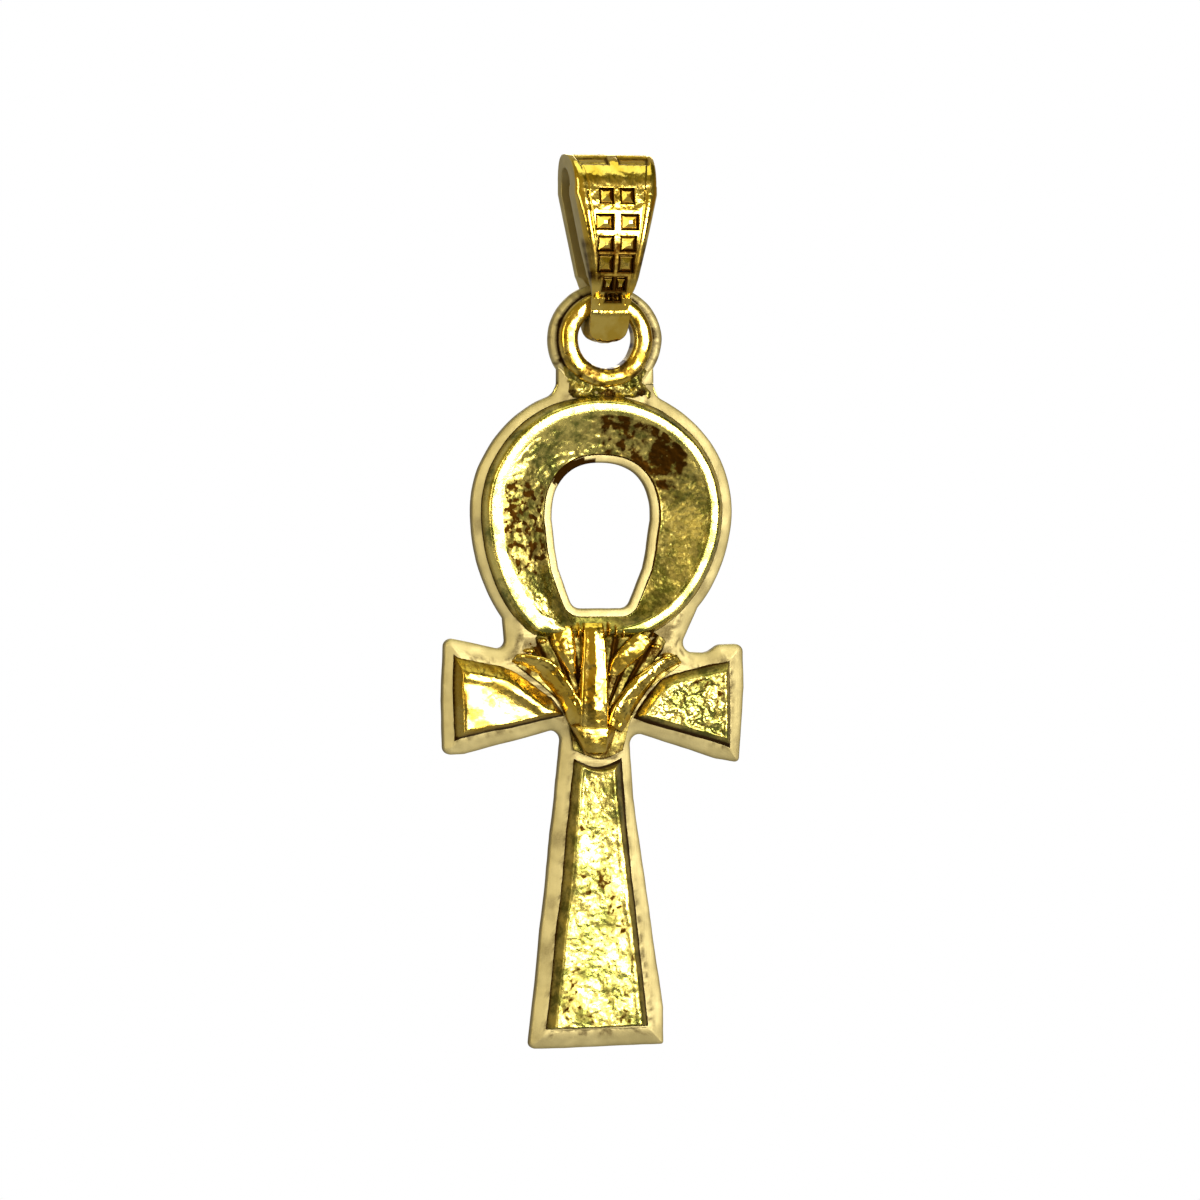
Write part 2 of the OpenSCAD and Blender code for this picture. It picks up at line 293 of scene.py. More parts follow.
def make_piece(name, places, faces, material, stain_and_shade=None, second=None,
               flat_from=None):
    """One closed mesh at the origin, faces outwards, with its dirt and painted shade at each point.
    second is a second material and the numbers of the faces that take it; faces from
    flat_from on are shaded flat."""
    mesh = bpy.data.meshes.new(name)
    mesh.from_pydata(places.reshape(-1, 3).tolist(), [], faces)
    tool = bmesh.new()
    tool.from_mesh(mesh)
    bmesh.ops.recalc_face_normals(tool, faces=tool.faces)
    tool.to_mesh(mesh)
    tool.free()
    smooth = np.ones(len(mesh.polygons), bool)
    smooth[len(smooth) if flat_from is None else flat_from:] = False
    mesh.polygons.foreach_set("use_smooth", smooth)
    if stain_and_shade is not None:
        layer = mesh.attributes.new("stain_and_shade", "FLOAT", "POINT")
        layer.data.foreach_set("value", np.clip(stain_and_shade, 0, 1).ravel().astype(np.float32))
    mesh.materials.append(material)
    if second:
        mesh.materials.append(second[0])
        index = np.zeros(len(mesh.polygons), np.int32)
        index[second[1]] = 1
        mesh.polygons.foreach_set("material_index", index)
    mesh.update()
    piece = bpy.data.objects.new(name, mesh)
    bpy.context.collection.objects.link(piece)
    return piece


def tray(name, top, material, stain_and_shade):
    """A relief patch: an open grid of (x, z, h), closed by walls and a flat underside."""
    rows, columns = top.shape[:2]
    index = np.arange(rows * columns).reshape(rows, columns)
    rim = np.concatenate([index[0, :-1], index[:-1, -1], index[-1, :0:-1], index[:0:-1, 0]])
    flat = wobble(top).reshape(-1, 3)
    under = flat[rim].copy()
    under[:, 2] = FLOOR_H
    points = np.concatenate([flat, under])
    first, count = len(flat), len(rim)
    faces = grid_faces(rows, columns, False, False)
    faces += [[int(rim[k]), int(rim[(k + 1) % count]), first + (k + 1) % count, first + k]
              for k in range(count)]
    faces.append([first + k for k in range(count)])
    stains_and_shade = np.concatenate([stain_and_shade.ravel(), stain_and_shade.ravel()[rim]])
    return make_piece(name, upright(points), faces, material, stains_and_shade)


def hollows(height, reach=3):
    """How far each point of a height grid lies below its neighbourhood."""
    soft = height.copy()
    for _ in range(reach):
        p = np.pad(soft, 1, mode="edge")
        soft = (p[1:-1, 1:-1] * 2 + p[:-2, 1:-1] + p[2:, 1:-1] + p[1:-1, :-2] + p[1:-1, 2:]) / 6
    return soft - height


# Finishes

def add(tree, kind, links=(), values=(), **options):
    """Adds one node; links pairs an input with a socket, values pairs it with a number."""
    node = tree.nodes.new(kind)
    for key, value in options.items():
        setattr(node, key, value)
    for key, value in values:
        node.inputs[key].default_value = value
    for key, socket in links:
        tree.links.new(socket, node.inputs[key])
    return node


def ramp(tree, factor, stops):
    """A colour ramp node; each stop is a place and a grey value or a linear colour."""
    node = add(tree, "ShaderNodeValToRGB", [("Fac", factor)])
    line = node.color_ramp
    while len(line.elements) < len(stops):
        line.elements.new(0.5)
    for element, (place, value) in zip(line.elements, stops):
        element.position = place
        element.color = (*value, 1) if isinstance(value, tuple) else (value, value, value, 1)
    return node.outputs["Color"]


def gold(name, bright, deep, stain_and_shade, gloss, grit, depth, patch=1.4, scratch=0.0, fine=3.0):
    """Cast gold: two tones in soft patches, a fine grit in the skin, and the stain_and_shade
    attribute, which darkens it with dirt and painted shade.

    gloss is the roughness of clean and of worn metal, grit the size of the casting's grain
    in mm and depth its height in mm, patch the size of the soft patches in mm and fine
    how far they break up."""
    material = bpy.data.materials.get(name)
    if material:
        return material
    material = bpy.data.materials.new(name)
    material.use_nodes = True
    tree = material.node_tree
    tree.nodes.clear()
    place = add(tree, "ShaderNodeTexCoord").outputs["Object"]

    def noise(size, detail, lumpy=0.55):
        """Noise with lumps of a size in mm."""
        node = add(tree, "ShaderNodeTexNoise", [("Vector", place)],
                   [("Scale", 1 / (size * MM)), ("Detail", detail), ("Roughness", lumpy)])
        return node.outputs["Fac"]

    patches, grains = noise(patch, fine, 0.5 + 0.04 * fine), noise(grit, 2.0)
    tone = add(tree, "ShaderNodeMix", [("Factor", ramp(tree, patches, [(0.42, 0.0), (0.58, 1.0)]))],
               [(6, (*bright, 1)), (7, (*deep, 1))], data_type="RGBA")
    # the stain_and_shade attribute holds dirt and painted shade; where it is set the metal darkens
    # towards the stain_and_shade colour and grows duller
    mark = add(tree, "ShaderNodeAttribute", attribute_name="stain_and_shade")
    broken = add(tree, "ShaderNodeMath", [(0, mark.outputs["Fac"]), (1, grains)],
                 [(2, 0.0)], operation="MULTIPLY")
    dirt_and_shade = add(tree, "ShaderNodeMath", [(0, mark.outputs["Fac"]), (1, broken.outputs[0])],
               operation="ADD", use_clamp=True)
    shade = add(tree, "ShaderNodeMix", [("Factor", dirt_and_shade.outputs[0]), (6, tone.outputs[2])],
                [(7, (*stain_and_shade, 1))], data_type="RGBA")
    dull = add(tree, "ShaderNodeMapRange", [("Value", grains)],
               [("From Min", 0.3), ("From Max", 0.7), ("To Min", gloss[0]), ("To Max", gloss[1])])
    duller = add(tree, "ShaderNodeMath", [(0, dirt_and_shade.outputs[0]), (2, dull.outputs[0])],
                 [(1, 0.3)], operation="MULTIPLY_ADD", use_clamp=True)
    height = grains
    if scratch:
        turned = add(tree, "ShaderNodeMapping", [("Vector", place)],
                     [("Rotation", (0, 0.25, 0)), ("Scale", (1 / (scratch * MM), 1, 60))])
        lines = add(tree, "ShaderNodeTexNoise", [("Vector", turned.outputs[0])],
                    [("Scale", 1.0), ("Detail", 2.0)])
        height = add(tree, "ShaderNodeMath", [(0, lines.outputs["Fac"]), (1, grains)],
                     operation="ADD").outputs[0]
    bump = add(tree, "ShaderNodeBump", [("Height", height)],
               [("Strength", 1.0), ("Distance", depth * MM)])
    shader = add(tree, "ShaderNodeBsdfPrincipled",
                 [("Base Color", shade.outputs[2]), ("Roughness", duller.outputs[0]),
                  ("Normal", bump.outputs[0])], [("Metallic", 1.0)])
    add(tree, "ShaderNodeOutputMaterial", [("Surface", shader.outputs[0])])
    return material


def finish_of(s, kind):
    """One of the three finishes of the gold: polished, textured or satin."""
    dirt_and_shade = tuple(s.tarnish_and_shade)
    if kind == "polished":
        # polished cast 18 carat gold: white glints, olive to brown where it mirrors the room
        return gold("polished_cast_gold", tuple(s.polished), linear("#D0AA3C"), dirt_and_shade,
                    (0.13, 0.2), 0.12, 0.002)
    if kind == "textured":
        # the same metal left as cast: small pits that break the glints into grains
        return gold("textured_cast_gold", linear("#E8D270"), linear("#7E7C38"), dirt_and_shade,
                    (0.2, 0.32), 0.08, 0.008, patch=1.0, fine=6.0)
    # filed and sanded rim: a pale, soft sheen without glints
    return gold("satin_filed_gold", tuple(s.satin), linear("#B6A670"), dirt_and_shade,
                (0.5, 0.6), 0.07, 0.003, patch=1.8, scratch=0.08)


# The ankh

def settings():
    """The sizes and colours in use."""
    return bpy.context.scene.pendant


class PENDANT_OT_plate(bpy.types.Operator):
    """Base plate with its sloped satin rim and the pale band round the hole"""
    bl_idname = "pendant.make_plate"
    bl_label = "Plate"

    def layers(self, outline, rows, way):
        """A closed line of (x, z, h) for each distance and height; way is -1 for the hole."""
        made = []
        for d, h in rows:
            line = ring_of(outline, way * d, 0.1)
            made.append(np.column_stack([line, np.full(len(line), h)]))
        return made

    def dirt_and_shade(self, points, row, on_band):
        """Soft patches on the rim, painted shade beside the relief and on the side walls, dark
        blotches at the roots of the arms, and painted shadow in the open seam.
        """
        x, z, h = points.T
        stain_and_shade = 0.25 * step(0.2, 0.9, grain(x, z, 0.9, 41)) * step(0.5, 0.6, h)
        beside = np.where(on_band, 0, step(11, 13, row.astype(float)))
        root = step(0.9, 0.2, np.abs(np.abs(x) - 3.6))
        root = root * step(-22.6, -21.9, z) * step(-20.6, -21.2, z)
        blotches = step(-0.3, 0.8, rough(x, z, 0.22, 43))
        # painted shade on the rim beside the relief, broken up by blotches
        stain_and_shade = np.maximum(stain_and_shade, beside * (0.1 + 0.3 * blotches))
        stain_and_shade = np.maximum(stain_and_shade, 0.45 * blotches * root * step(0.55, 0.62, h))
        # painted shade on the side walls of the plate and of the hole
        stain_and_shade = np.maximum(stain_and_shade, 0.35 * step(0.5, 0.35, h) * step(0.0, 0.1, h))
        # painted shadow: black in the open seam at the top left of the hole
        seam = (x > -2.2) & (x < -0.3) & (z > -14.1) & (z < -13.0) & on_band & (h > 0.2)
        return np.where(seam, 1.0, stain_and_shade)

    def execute(self, context):
        s = settings()
        edge = mm(s.edge_height)
        # distance in from the outline, and height
        rim = [(0.12, 0), (0.04, 0.01), (0.01, 0.04), (0, 0.1), (0, 0.25), (0, edge - 0.13),
               (0.008, edge - 0.07), (0.03, edge - 0.025), (0.07, edge), (0.14, edge + 0.03),
               (0.25, edge + 0.065), (0.36, edge + 0.1), (0.48, edge + 0.14), (0.6, edge + 0.17),
               (0.72, edge + 0.19), (0.8, edge + 0.19)]
        # distance out from the hole, and height
        band = [(0.05, 0), (0.01, 0.02), (0, 0.08), (0, 0.3), (0.01, 0.39), (0.04, 0.43),
                (0.1, 0.45), (0.25, 0.47), (0.4, 0.49), (0.6, 0.5), (1.1, 0.5)]
        rings = self.layers(plate_outline(s), rim, 1)
        inner = self.layers(hole_outline(s), band, -1)
        count, small = len(rings[0]), len(inner[0])
        points = np.concatenate(rings + inner)
        start = count * len(rings)
        faces = grid_faces(len(rings), count, False, True)
        faces += grid_faces(len(inner), small, False, True, start)
        caps = len(faces)
        for k, m in ((0, 0), (len(rings) - 1, len(inner) - 1)):
            outer = np.arange(count) + k * count
            within = np.arange(small) + start + m * small
            order = np.concatenate([outer, within])
            ends = [[Vector((*points[i][:2], 0)) for i in part] for part in (outer, within)]
            faces += [[int(order[i]) for i in t] for t in tessellate_polygon(ends)]
        number = np.arange(len(points))
        stain_and_shade = self.dirt_and_shade(points, number // count, number >= start)
        x, z, h = points.T
        worn = wobble(points)
        worn[:, 2] += np.where(h > 0.3, 0.012 * rough(x, z, 0.7, 21), 0)
        piece = make_piece("ankh_plate", upright(worn), faces, finish_of(s, "satin"), stain_and_shade,
                           flat_from=caps)
        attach(piece, "ankh")
        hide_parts("ankh")
        return {"FINISHED"}


def polar_radius(points, angles):
    """Distance from the dish's centre to a closed outline, for each angle."""
    flat = points - DISH_CENTRE
    turn = np.arctan2(flat[:, 1], flat[:, 0])
    order = np.argsort(turn)
    reach = np.hypot(flat[:, 0], flat[:, 1])[order]
    return np.interp(angles, turn[order], reach, period=2 * math.pi)


class PENDANT_OT_loop(bpy.types.Operator):
    """Raised loop: wall, bright ridge and a textured dish that slopes to the hole"""
    bl_idname = "pendant.make_loop"
    bl_label = "Loop"

    def wall(self, s, angles, right, left_low):
        """Rings of the wall and the ridge, as (reach, height), from the plate inwards."""
        ridge = mm(s.ridge_height)
        # distance in from the plate's outline, and height
        section = [(0.37, 0.3), (0.37, 0.6), (0.39, 0.68), (0.43, 0.78), (0.48, 0.9),
                   (0.53, 1.01), (0.58, 1.11), (0.63, 1.185), (0.68, 1.228), (0.74, 1.245),
                   (0.8, ridge), (0.92, ridge), (1.02, 1.247), (1.1, 1.24), (1.2, 1.215)]
        rings = []
        for d, h in section:
            edge = np.array([loop_point(s, t, d) for t in np.linspace(-180, 180, 721)])
            narrow = 0.09 * right * (1 - step(0.9, 1.3, d))
            reach = polar_radius(edge, angles) - narrow - 0.12 * left_low * step(0.9, 1.1, d)
            rings.append((reach, np.full(len(angles), h)))
        return rings

    def dish(self, ridge, band, angles, right, left_low):
        """Rings from the ridge down to the band: an even slope, but bowed on the left."""
        (outer, top), (inner, foot) = ridge, band
        drop = top - foot
        leftward = (1 - right) * (1 - left_low) * step(0.9, 0.5, np.sin(angles))
        rings = []
        for k in range(1, DISH_STEPS):
            v = k / DISH_STEPS
            even = foot + drop * (1 - v) ** 1.25
            steep = foot + drop * (1 - v ** 1.45)
            flat = foot + drop * (1 - v ** 1.9) ** 1.2
            rings.append((outer + (inner - outer) * v,
                          even + (flat - even) * 0.75 * left_low + (steep - even) * leftward))
        return rings

    def cast(self, x, z, reach, height, angles, field, right):
        """The heights with their texture, a fold at the top left and the fall to the lotus."""
        calm = 0.35 + 0.65 * np.maximum(1 - right, step(0.2, 0.7, np.sin(angles)))
        pits = 0.016 * rough(x, z, 0.24, 7) + 0.024 * rough(x, z, 0.55, 9)
        streaks = 0.012 * grain(angles[None, :] * 4.5 * np.ones(reach.shape), reach, 0.13, 13)
        height = height + field * (pits * calm + streaks * right + 0.02 * rough(x, z, 1.3, 15))
        crease = x + 1.35 + 0.35 * (z + 12.2)
        fold = np.exp(-(crease / 0.07) ** 2) * step(-12.9, -12.6, z) * step(-11.4, -11.7, z)
        height = height + 0.05 * fold * (x < 0)
        return height - 0.75 * step(-20.55, -21.3, z) * (height > 0.55)

    def dirt_and_shade(self, x, z, height, angles, field, right):
        """Specks, and painted shade at the top and sides of the dish, at both feet and in the seam.
        """
        # painted shade: brown where the top of the dish faces down, a little on the right side, and
        # on the left with dark mottles; random specks all over
        shade_at_top = step(0.1, 0.75, np.sin(angles)) * step(-1.1, 0.2, x) * step(4.2, 3.2, x)
        leaf = (1 - right) * step(0.75, 0.35, np.abs(np.sin(angles)))
        stain_and_shade = field * (shade_at_top * (0.6 + 0.35 * rough(x, z, 0.25, 31) + 0.25 * rough(x, z, 0.9, 32))
                         + 0.14 * right * (1 - shade_at_top)
                         + 0.25 * step(0.0, 0.6, rough(x, z, 0.45, 33))
                         + leaf * (0.25 + 0.6 * step(-0.1, 0.7, rough(x, z, 0.2, 35))))
        # dirt and painted shade in the hollows
        stain_and_shade = stain_and_shade + 6 * np.clip(hollows(height, 2), 0, 0.08)
        # painted shade: dark lines at the foot of the wall and at the foot by the hole
        lines = np.zeros(len(height))
        lines[:5] = [1, 1, 0.7, 0.4, 0.2]
        lines[-4:] = [0.7, 1, 1, 1]
        stain_and_shade = np.maximum(stain_and_shade, lines[:, None])
        # painted shadow: black in the open seam by the hole
        near_hole = np.arange(len(height))[:, None] > len(height) - 8
        seam = near_hole & (x > -0.3) & (x < 2.0) & (z > -15) & (z < -13)
        return np.where(seam, 1.0, stain_and_shade)

    def execute(self, context):
        s = settings()
        turns = 720
        angles = np.linspace(-math.pi, math.pi, turns, endpoint=False)
        right = step(-0.6, 0.6, np.cos(angles))
        left_low = step(0.1, 0.7, -np.sin(angles)) * (1 - right)
        rings = self.wall(s, angles, right, left_low)
        first = len(rings)
        # the band round the hole: distance out from the hole, and height
        bands = [(polar_radius(ring_of(hole_outline(s), -d, 0.05), angles), h)
                 for d, h in ((0.35, 0.4), (0.35, 0.5), (0.37, 0.56))]
        ridge_end = rings[-1][0], rings[-1][1][0]
        rings += self.dish(ridge_end, bands[-1], angles, right, left_low)
        final = len(rings)
        rings += [(r, np.full(turns, h)) for r, h in reversed(bands)]
        reach = np.array([r for r, h in rings])
        height = np.array([h for r, h in rings])
        x = DISH_CENTRE[0] + reach * np.cos(angles)
        z = DISH_CENTRE[1] + reach * np.sin(angles)
        field = np.zeros(len(rings))
        field[first + 1:final - 1] = 1
        field = np.minimum(field, np.convolve(field, np.ones(5) / 5, "same"))[:, None]
        height = self.cast(x, z, reach, height, angles, field, right)
        stain_and_shade = self.dirt_and_shade(x, z, height, angles, field, right)
        points = wobble(np.stack([x, z, height], -1))
        under = points[-1:].copy()
        under[..., 2] = FLOOR_H
        points = np.concatenate([points, under])
        stain_and_shade = np.concatenate([stain_and_shade, stain_and_shade[-1:]])
        piece = make_piece("ankh_loop", upright(points), grid_faces(len(points), turns, True, True),
                           finish_of(s, "textured"), stain_and_shade)
        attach(piece, "ankh")
        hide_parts("ankh")
        return {"FINISHED"}


def between(a, b, c, d, rows, columns):
    """Patch between four lines: a the low side, b the high side, c left and d right."""
    low, high = spline(a, columns), spline(b, columns)
    left, right = spline(c, rows), spline(d, rows)
    u, v = np.linspace(0, 1, columns)[None, :, None], np.linspace(0, 1, rows)[:, None, None]
    flat = ((1 - v) * low[None] + v * high[None] + (1 - u) * left[:, None] + u * right[:, None])
    return flat - ((1 - u) * (1 - v) * low[0] + u * (1 - v) * low[-1]
                   + (1 - u) * v * high[0] + u * v * high[-1])


def gap_to(points, line):
    """Distance from each point to a bent line."""
    best = np.full(points.shape[:-1], 99.0)
    line = np.asarray(line, float)
    for a, b in zip(line[:-1], line[1:]):
        along = b - a
        t = np.clip(((points - a) @ along) / (along @ along), 0, 1)
        best = np.minimum(best, np.linalg.norm(points - a - t[..., None] * along, axis=-1))
    return best


class PENDANT_OT_panels(bpy.types.Operator):
    """Raised panels of the two arms and the stem, with sloped walls and a cast texture"""
    bl_idname = "pendant.make_panels"
    bl_label = "Panels"

    def panel(self, s, name, lines, walls, size, grit, seed, sides, kind="textured", spots=0.0,
              twist=0.0):
        """One panel between four lines, low, high, left and right, each with its wall's width
        and its share of painted shade along that side. grit scales the texture, spots the
        specks, twist tilts the top."""
        flat = between(*lines, *size)
        gaps = [gap_to(flat, spline(line, 40)) / wall for line, wall in zip(lines, walls)]
        rise = np.minimum.reduce([step(-0.1, 1.0, g) for g in gaps])
        edge = np.minimum.reduce(gaps)
        x, z = flat[..., 0], flat[..., 1]
        foot, top = 0.66, mm(s.panel_height)
        height = foot + (top - foot) * rise
        flatness = step(0.7, 1.3, edge)
        deep = mm(s.hammer_depth)
        lip = np.exp(-((np.minimum(gaps[1], gaps[3]) - 1.15) / 0.3) ** 2)
        height = height + flatness * (deep * grit * (0.3 * rough(x, z, 0.17, seed)
                                                     + 0.45 * rough(x, z, 0.36, seed + 2))
                                      + 1.2 * deep * rough(x, z, 1.8, seed + 4)
                                      + 0.8 * deep * lip)
        height = height + twist * x * step(-30.5, -27.5, z) * flatness
        uneven = rough(x, z, 0.35, seed + 7)
        height = height + 0.02 * (1 - flatness) * step(0.05, 0.3, edge) * uneven
        # painted shade on the walls and darker at their foot, random patches on the top, painted
        # shade along each side by its share, and specks
        stain_and_shade = 0.25 * (1 - flatness) + 0.5 * step(0.45, 0.0, edge)
        stain_and_shade = stain_and_shade + flatness * 0.3 * step(0.15, 0.75, rough(x, z, 0.55, seed + 9))
        for gap, share in zip(gaps, sides):
            stain_and_shade = stain_and_shade + share * step(0.75, 0.15, gap)
        stain_and_shade = stain_and_shade + flatness * spots * step(0.1, 0.8, rough(x, z, 0.2, seed + 11))
        piece = tray(name, np.stack([x, z, height], -1), finish_of(s, kind), stain_and_shade)
        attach(piece, "ankh")
        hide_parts("ankh")

    def execute(self, context):
        s = settings()
        left, right = mm(s.arm_left), mm(s.arm_right)
        self.panel(s, "ankh_arm_left", (
            [(-left + 0.53, -25.62), (-4.2, -25.05), (-1.55, -24.5)],
            [(-left + 0.45, -21.72), (-5.4, -21.98), (-3.97, -22.35), (-2.3, -23.5)],
            [(-left + 0.53, -25.62), (-left + 0.44, -23.7), (-left + 0.45, -21.72)],
            [(-1.55, -24.5), (-1.9, -24.0), (-2.3, -23.5)]),
            (0.34, 0.75, 0.42, 0.4), (110, 130), 0.15, 50, (0.6, 0.0, 0.0, 0.2), kind="polished")
        self.panel(s, "ankh_arm_right", (
            [(1.35, -24.6), (3.6, -25.25), (right - 0.62, -25.95)],
            [(2.1, -23.4), (2.75, -22.75), (3.7, -22.4), (right - 0.66, -21.9)],
            [(1.35, -24.6), (1.7, -24.0), (2.1, -23.4)],
            [(right - 0.62, -25.95), (right - 0.6, -23.9), (right - 0.66, -21.9)]),
            (0.42, 0.5, 0.5, 0.3), (110, 130), 2.0, 61, (0.7, 0.2, 0.3, 0.0), spots=0.5)
        foot, half = -mm(s.foot_depth), mm(s.foot_half_width)
        self.panel(s, "ankh_stem", (
            [(-half + 0.62, foot + 0.87), (0, foot + 0.92), (half - 0.66, foot + 0.98)],
            [(-1.28, -26.3), (-0.6, -26.62), (-0.2, -26.7), (0.3, -26.6), (1.0, -26.3)],
            [(-half + 0.62, foot + 0.87), (-2.05, -34.5), (-1.62, -30), (-1.28, -26.3)],
            [(half - 0.66, foot + 0.98), (2.05, -35.5), (1.55, -31.5), (1.2, -28.6),
             (1.0, -26.3)]),
            (0.12, 0.25, 0.48, 0.46), (300, 110), 0.8, 72, (0.4, 0.9, 0.1, 0.35), spots=0.4,
            twist=0.13)
        return {"FINISHED"}


# rows of (x, z, h) across a form of the lotus, from its top down to its root
HEART = (((-3.75, -21.7, 0.6), (-3.1, -21.0, 0.8), (-2.2, -20.45, 0.72), (0, -20.4, 0.62),
          (1.8, -20.45, 0.7), (2.7, -20.9, 0.8), (3.3, -21.5, 0.6)),
         ((-3.1, -22.3, 0.6), (-2.5, -21.9, 0.97), (-1.7, -21.7, 1.0), (-0.3, -21.6, 0.94),
          (1.2, -21.7, 1.0), (2.2, -21.9, 0.97), (2.8, -22.3, 0.6)),
         ((-2.2, -23.4, 0.6), (-1.8, -23.2, 1.0), (-1.3, -23.1, 1.05), (-0.4, -23.0, 1.0),
          (0.6, -23.1, 1.05), (1.3, -23.1, 1.0), (2.0, -23.2, 0.6)),
         ((-1.5, -24.8, 0.6), (-1.2, -24.8, 0.85), (-0.9, -24.8, 0.95), (-0.4, -24.8, 0.9),
          (0.1, -24.8, 0.95), (0.5, -24.8, 0.85), (0.9, -24.8, 0.6)))
INNER_LEFT = (((-2.45, -20.75, 0.6), (-2.36, -20.62, 1.0), (-2.1, -20.5, 1.12),
               (-1.75, -20.42, 1.14), (-1.45, -20.42, 1.05), (-1.35, -20.42, 0.6)),
              ((-2.4, -21.3, 0.6), (-2.28, -21.25, 1.08), (-2.0, -21.2, 1.24),
               (-1.65, -21.2, 1.26), (-1.32, -21.2, 1.14), (-1.22, -21.2, 0.6)),
              ((-2.1, -22.0, 0.6), (-1.98, -21.95, 1.08), (-1.8, -21.9, 1.22),
               (-1.55, -21.86, 1.24), (-1.3, -21.85, 1.12), (-1.2, -21.85, 0.6)),
              ((-1.6, -22.7, 0.6), (-1.52, -22.64, 1.0), (-1.42, -22.6, 1.1),
               (-1.32, -22.56, 1.12), (-1.22, -22.55, 1.02), (-1.16, -22.55, 0.6)))
INNER_RIGHT = (((1.25, -20.95, 0.6), (1.35, -20.85, 1.0), (1.6, -20.75, 1.12),
                (1.95, -20.85, 1.16), (2.25, -21.1, 1.05), (2.35, -21.25, 0.6)),
               ((0.6, -21.6, 0.6), (0.68, -21.52, 1.06), (0.95, -21.4, 1.2),
                (1.35, -21.42, 1.26), (1.8, -21.65, 1.16), (1.95, -21.78, 0.6)),
               ((0.28, -22.1, 0.6), (0.36, -22.05, 1.04), (0.6, -21.98, 1.18),
                (0.95, -22.02, 1.2), (1.2, -22.2, 1.08), (1.3, -22.3, 0.6)),
               ((0.15, -22.75, 0.6), (0.2, -22.7, 0.96), (0.32, -22.66, 1.06),
                (0.48, -22.66, 1.08), (0.62, -22.74, 1.0), (0.7, -22.8, 0.6)))
# a side petal from its tip to its root: outer foot, inner foot and the height of the crest
SIDE_LEFT = ((-4.2, -22.2, -3.85, -21.68, 0.86), (-3.3, -22.56, -3.36, -21.66, 1.08),
             (-2.74, -22.9, -2.4, -21.88, 1.22), (-2.06, -23.62, -1.82, -22.54, 1.32),
             (-1.77, -24.17, -1.41, -23.1, 1.37), (-1.54, -24.67, -0.94, -23.85, 1.39),
             (-1.3, -25.05, -0.75, -24.7, 1.35))
SIDE_RIGHT = ((3.75, -22.2, 3.4, -21.7, 0.86), (2.95, -22.56, 2.66, -21.85, 1.1),
              (2.55, -22.85, 2.1, -22.22, 1.22), (1.98, -23.52, 1.35, -22.74, 1.34),
              (1.52, -24.22, 0.77, -23.46, 1.36), (1.22, -24.77, 0.36, -24.02, 1.38),
              (0.95, -25.2, 0.15, -24.74, 1.34))
# the middle petal: z, left foot, right foot and the crest's rise over the petal height
MIDDLE = ((-20.3, -0.95, 0.04, -0.42), (-20.6, -1.0, 0.08, -0.22), (-21.4, -1.05, 0.14, -0.1),
          (-22.4, -1.12, 0.19, -0.02), (-23.4, -1.15, 0.23, 0), (-24.3, -1.17, 0.26, -0.03),
          (-24.95, -1.15, 0.26, -0.1))
# the cup: z, left foot, left brow, right brow, right foot and the height of its top
CUP = ((-24.86, -1.42, -1.32, 0.2, 0.68, 0.0), (-24.95, -1.42, -1.3, 0.18, 0.66, 0.17),
       (-25.3, -1.25, -1.13, 0.16, 0.58, 0.18), (-25.75, -1.02, -0.9, 0.13, 0.44, 0.16),
       (-26.05, -0.86, -0.76, 0.08, 0.28, 0.08), (-26.22, -0.74, -0.66, 0.0, 0.14, -0.2))
CUP_H = 1.3


